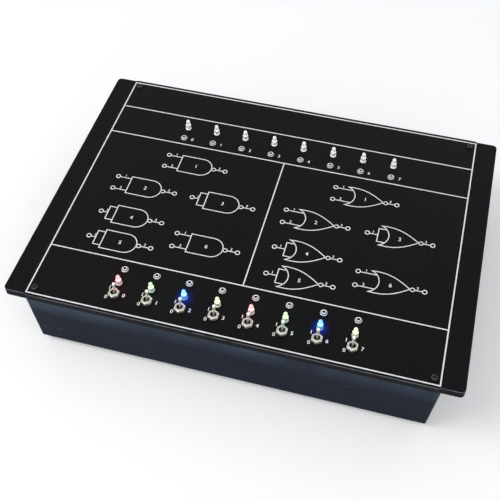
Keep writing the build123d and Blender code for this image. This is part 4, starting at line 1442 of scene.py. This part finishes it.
@dataclass
class ToggleSwitches:
    """Bushings, washers, nuts and levers of the eight toggle switches."""

    bushing: float = 3.0
    bore: float = 2.36
    bushing_top: float = 3.3
    bushing_end: float = -5.6
    thread_turns: int = 5
    thread_pitch: float = 0.45
    thread_fall: float = 0.22
    thread_depth: float = 0.2
    nut_bore: float = 3.05
    nut_flats: float = 7.5
    nut_base: float = 0.6
    nut_top: float = 2.8
    nut_steps: int = 60
    chamfer_share: float = 0.97
    chamfer_slope: float = 0.5
    washer: float = 3.7
    pivot: float = -2.5
    tilt_deg: float = 12.5
    stem: float = 0.8
    ball: float = 2.3
    tip: float = 1.45
    tip_height: float = 12.15

    def build(self) -> None:
        """Builds every part of the switches that shows."""
        places = LAYOUT.row(LAYOUT.switch_y)
        bushings = Shape().turn(places, (self._bushing(), 36))
        bushings.plated("switch_bushings_turned", Finishes.PLATED, "switch_bushings")
        # Dark sleeves in the bushings' bores: painted shade.
        Shape().turn(places, (self._sleeve_shade(), 36)).finish("switch_sleeve_shades", Finishes.BORE_SHADE)
        washers = Shape().turn(places, (self._washer(), 40))
        washers.plated("switch_washers_pressed", Finishes.PLATED, "switch_washers")
        nuts = Shape()
        for place in places:
            nuts.skin(self._nut(nuts, place), self.nut_steps)
        nuts.plated("switch_nuts_cut", Finishes.NUT, "switch_nuts", NUT_SHARP_DEG)
        self._levers()

    def _bushing(self) -> list[Point]:
        """Draws a bushing, with thread ridges at the top.

        Returns:
            Its outline.
        """
        thread = []
        for turn in range(self.thread_turns):
            crest = self.bushing_top - 0.25 - turn * self.thread_pitch
            root = (self.bushing - self.thread_depth, crest - self.thread_fall)
            thread += [(self.bushing, crest), root]
        return [
            (self.bore, self.bushing_end),
            (self.bore, self.bushing_top - 0.15),
            (self.bore + 0.12, self.bushing_top),
            (self.bushing - 0.25, self.bushing_top),
            *thread,
            (self.bushing, -0.5),
            (self.bushing, self.bushing_end),
            (self.bore, self.bushing_end),
        ]

    def _sleeve_shade(self) -> list[Point]:
        """Draws a dark sleeve inside a bushing's bore, as painted shade."""
        inner, low, high = self.bore - 0.03, self.bushing_end + 0.1, self.bushing_top - 0.4
        return [(self.bore, low), (self.bore, high), (inner, high), (inner, low), (self.bore, low)]

    def _washer(self) -> list[Point]:
        """Draws a washer with a rounded rim."""
        inner, top = self.nut_bore, self.nut_base
        rim = rounded(self.washer, top, 0.2, 3)
        return [(inner, 0.0), (inner, top), *rim, (self.washer, 0.0), (inner, 0.0)]

    def _nut(self, shape: Shape, place: Matrix) -> list[Ring]:
        """Lays the points of one hexagonal nut, with its corners chamfered as on a turned bar.

        Args:
            shape: The mesh they go into.
            place: Where it stands.

        Returns:
            Its rings of points, from the bore's foot round the outside and back.
        """
        apothem = self.nut_flats / 2
        chamfer_start = apothem * self.chamfer_share
        shoulder = self.nut_bore + 0.25
        foot: Ring = []
        rings: list[Ring] = [[] for _ in range(5)]
        for step in range(self.nut_steps):
            turns = step / self.nut_steps
            folded = (2 * math.pi * turns + math.pi / 6) % (math.pi / 3) - math.pi / 6
            side = apothem / math.cos(folded)
            drop = max(0.0, side - chamfer_start) * self.chamfer_slope
            foot.append(shape.point(place, self.nut_bore, turns, self.nut_base))
            rings[0].append(shape.point(place, side, turns, self.nut_base + 0.02))
            rings[1].append(shape.point(place, side, turns, self.nut_top - drop))
            rings[2].append(shape.point(place, chamfer_start, turns, self.nut_top))
            rings[3].append(shape.point(place, shoulder, turns, self.nut_top))
            rings[4].append(shape.point(place, self.nut_bore, turns, self.nut_top - 0.25))
        return [foot, *rings, foot]

    def _levers(self) -> None:
        """Turns the levers, each on its own body, leaning back as their solids do."""
        lever = [
            (0.0, -5.0),
            (self.stem, -5.0),
            (self.stem, -2.16),
            *arc((0.0, 0.0), self.ball, -69.6, 66.0, 12),
            (0.95, self.ball),
            (0.9, 5.4),
            *bend((0.92, 6.0), (0.98, 8.4), (1.42, 10.4), (self.tip, self.tip_height), 8),
            *arc((0.0, self.tip_height), self.tip, 12, 78, 6),
            (0.0, self.tip_height + self.tip),
        ]
        lean = Matrix.Rotation(math.radians(-self.tilt_deg), 4, "X")
        for number, place in enumerate(LAYOUT.row(LAYOUT.switch_y, self.pivot)):
            shape = Shape().turn([place @ lean], (lever, 28))
            name, body, node = f"lever_{number}_turned", f"lever_{number}", f"toggle_lever_{number}"
            shape.finish(name, Finishes.BRIGHT, body, "lever_chrome", node, TURNED_SHARP_DEG)


@dataclass
class RockerMarks:
    """The I and O printed on the power rocker, each square to its half of the rocker's face."""

    x: float = 121.5
    pivot_y: float = 116.4
    pivot_z: float = 26.0
    tilt_deg: float = 10.0
    face: float = 4.12
    half_middle: float = 3.35
    end_rise: float = 1.0
    half_length: float = 6.7
    mark: float = 3.0
    line: float = 0.6
    ink_height: float = 0.04

    def build(self) -> None:
        """Prints both marks."""
        shape = Shape()
        tall, half, ink = self.mark / 2, self.line / 2, self.ink_height
        bar = [(-half, -tall), (half, -tall), (half, tall), (-half, tall)]
        shape.slab(bar, 0.0, ink, self._half(1))
        inner = tall - self.line
        hoop = [(inner, 0.0), (tall, 0.0), (tall, ink), (inner, ink), (inner, 0.0)]
        shape.lathe(hoop, self._half(-1), 32)
        shape.finish("rocker_marks", Finishes.INK, "power_rocker", "rocker_plastic")

    def _half(self, side: int) -> Matrix:
        """The middle of the upper (1) or lower (-1) half of the rocker's face, with +Z out of it."""
        lean = Matrix.Rotation(math.radians(self.tilt_deg), 4, "X")
        slope = Matrix.Rotation(-side * math.atan2(self.end_rise, self.half_length), 4, "X")
        middle = at(self.x, self.pivot_y, self.pivot_z) @ lean @ at(0.0, self.face, side * self.half_middle)
        return middle @ slope @ Matrix.Rotation(math.radians(-90), 4, "X")


# ---- Floor, lights and camera ----


@dataclass
class Studio:
    """Floor, soft lights and the camera at the photograph's viewing angle."""

    azimuth_deg: float = 15.0
    elevation_deg: float = 51.5
    distance_mm: float = 700.0
    lens_mm: float = 61.8
    aim_mm: tuple[float, float, float] = (-10.0, -14.2, 30.0)
    floor_half_m: float = 3.0
    floor_mm: float = -0.1
    sky: Colour = (0.93, 0.96, 1.0)
    sky_strength: float = 0.55
    lit_m: tuple[float, float, float] = (0.0, 0.0, 0.03)
    lights: tuple[tuple[str, tuple[float, float, float], float, float], ...] = (
        ("key_light", (-0.85, -0.45, 1.25), 0.9, 10.0),
        ("fill_light", (0.75, -1.1, 0.9), 1.2, 3.4),
        ("back_light", (0.6, 1.3, 0.5), 1.0, 2.0),
    )

    def build(self) -> None:
        """Makes the floor, the world, the lights and the camera."""
        self._floor()
        self._world()
        for name, place, side, watts in self.lights:
            self._light(name, Vector(place), side, watts)
        self._camera()
        bpy.context.scene.view_settings.view_transform = "Standard"

    def _floor(self) -> None:
        """Lays the floor sheet."""
        mesh = bmesh.new()
        bmesh.ops.create_grid(mesh, x_segments=8, y_segments=8, size=self.floor_half_m)
        data = bpy.data.meshes.new("floor")
        mesh.to_mesh(data)
        mesh.free()
        data.materials.append(Finishes.FLOOR.material)
        floor = bpy.data.objects.new("floor", data)
        floor.location.z = self.floor_mm * MM
        bpy.context.scene.collection.objects.link(floor)

    def _world(self) -> None:
        """Surrounds the object with soft white that shows as white in the picture, mirrors and glass."""
        world = bpy.data.worlds.new("studio_world")
        world.use_nodes = True
        nodes, links = world.node_tree.nodes, world.node_tree.links
        nodes.clear()
        choose = nodes.new("ShaderNodeMixShader")
        backgrounds = ((self.sky, self.sky_strength), ((1.0, 1.0, 1.0), 1.0))
        for socket, (colour, strength) in enumerate(backgrounds, start=1):
            light = nodes.new("ShaderNodeBackground")
            light.inputs["Color"].default_value = (*colour, 1.0)
            light.inputs["Strength"].default_value = strength
            links.new(light.outputs[0], choose.inputs[socket])
        path = nodes.new("ShaderNodeLightPath")
        seen = path.outputs[SEEING_RAYS[0]]
        for kind in SEEING_RAYS[1:]:
            either = nodes.new("ShaderNodeMath")
            either.operation = "MAXIMUM"
            links.new(seen, either.inputs[0])
            links.new(path.outputs[kind], either.inputs[1])
            seen = either.outputs[0]
        links.new(seen, choose.inputs[0])
        links.new(choose.outputs[0], nodes.new("ShaderNodeOutputWorld").inputs["Surface"])
        bpy.context.scene.world = world

    def _light(self, name: str, place: Vector, side: float, watts: float) -> None:
        """Hangs one soft square light that faces the object.

        Args:
            name: The light's name.
            place: Where it hangs, in metres.
            side: Its side in metres.
            watts: Its power.
        """
        data = bpy.data.lights.new(name, "AREA")
        data.shape = "SQUARE"
        data.size = side
        data.energy = watts
        lamp = bpy.data.objects.new(name, data)
        lamp.location = place
        lamp.rotation_mode = "QUATERNION"
        lamp.rotation_quaternion = (place - Vector(self.lit_m)).to_track_quat("Z", "Y")
        bpy.context.scene.collection.objects.link(lamp)

    def _camera(self) -> None:
        """Stands the camera at the photograph's angle and fits the object into the frame."""
        azimuth, elevation = math.radians(self.azimuth_deg), math.radians(self.elevation_deg)
        level = math.cos(elevation)
        back = Vector((math.sin(azimuth) * level, -math.cos(azimuth) * level, math.sin(elevation)))
        data = bpy.data.cameras.new("camera")
        data.lens = self.lens_mm
        data.clip_start = 0.01
        data.clip_end = 50.0
        camera = bpy.data.objects.new("camera", data)
        camera.rotation_mode = "QUATERNION"
        camera.location = (Vector(self.aim_mm) + back * self.distance_mm) * MM
        camera.rotation_quaternion = back.to_track_quat("Z", "Y")
        bpy.context.scene.collection.objects.link(camera)
        bpy.context.scene.camera = camera


def main() -> None:
    """Builds every sub-assembly in order."""
    logging.basicConfig(level=logging.INFO, format="%(message)s")
    for assembly in (
        CadDress(),
        PanelPrint(),
        PatchSockets("output_sockets", LAYOUT.output_socket_y),
        PatchSockets("input_sockets", LAYOUT.input_socket_y),
        GateTerminals(LAYOUT.nand),
        GateTerminals(LAYOUT.nor),
        LampRow("output_lamp", LAYOUT.output_lamp_y, CLEAR_LAMPS, burning=False),
        LampRow("input_lamp", LAYOUT.input_lamp_y, BURNING_LAMPS, burning=True),
        ToggleSwitches(),
        RockerMarks(),
        Studio(),
    ):
        assembly.build()


if __name__ == "__main__":
    main()
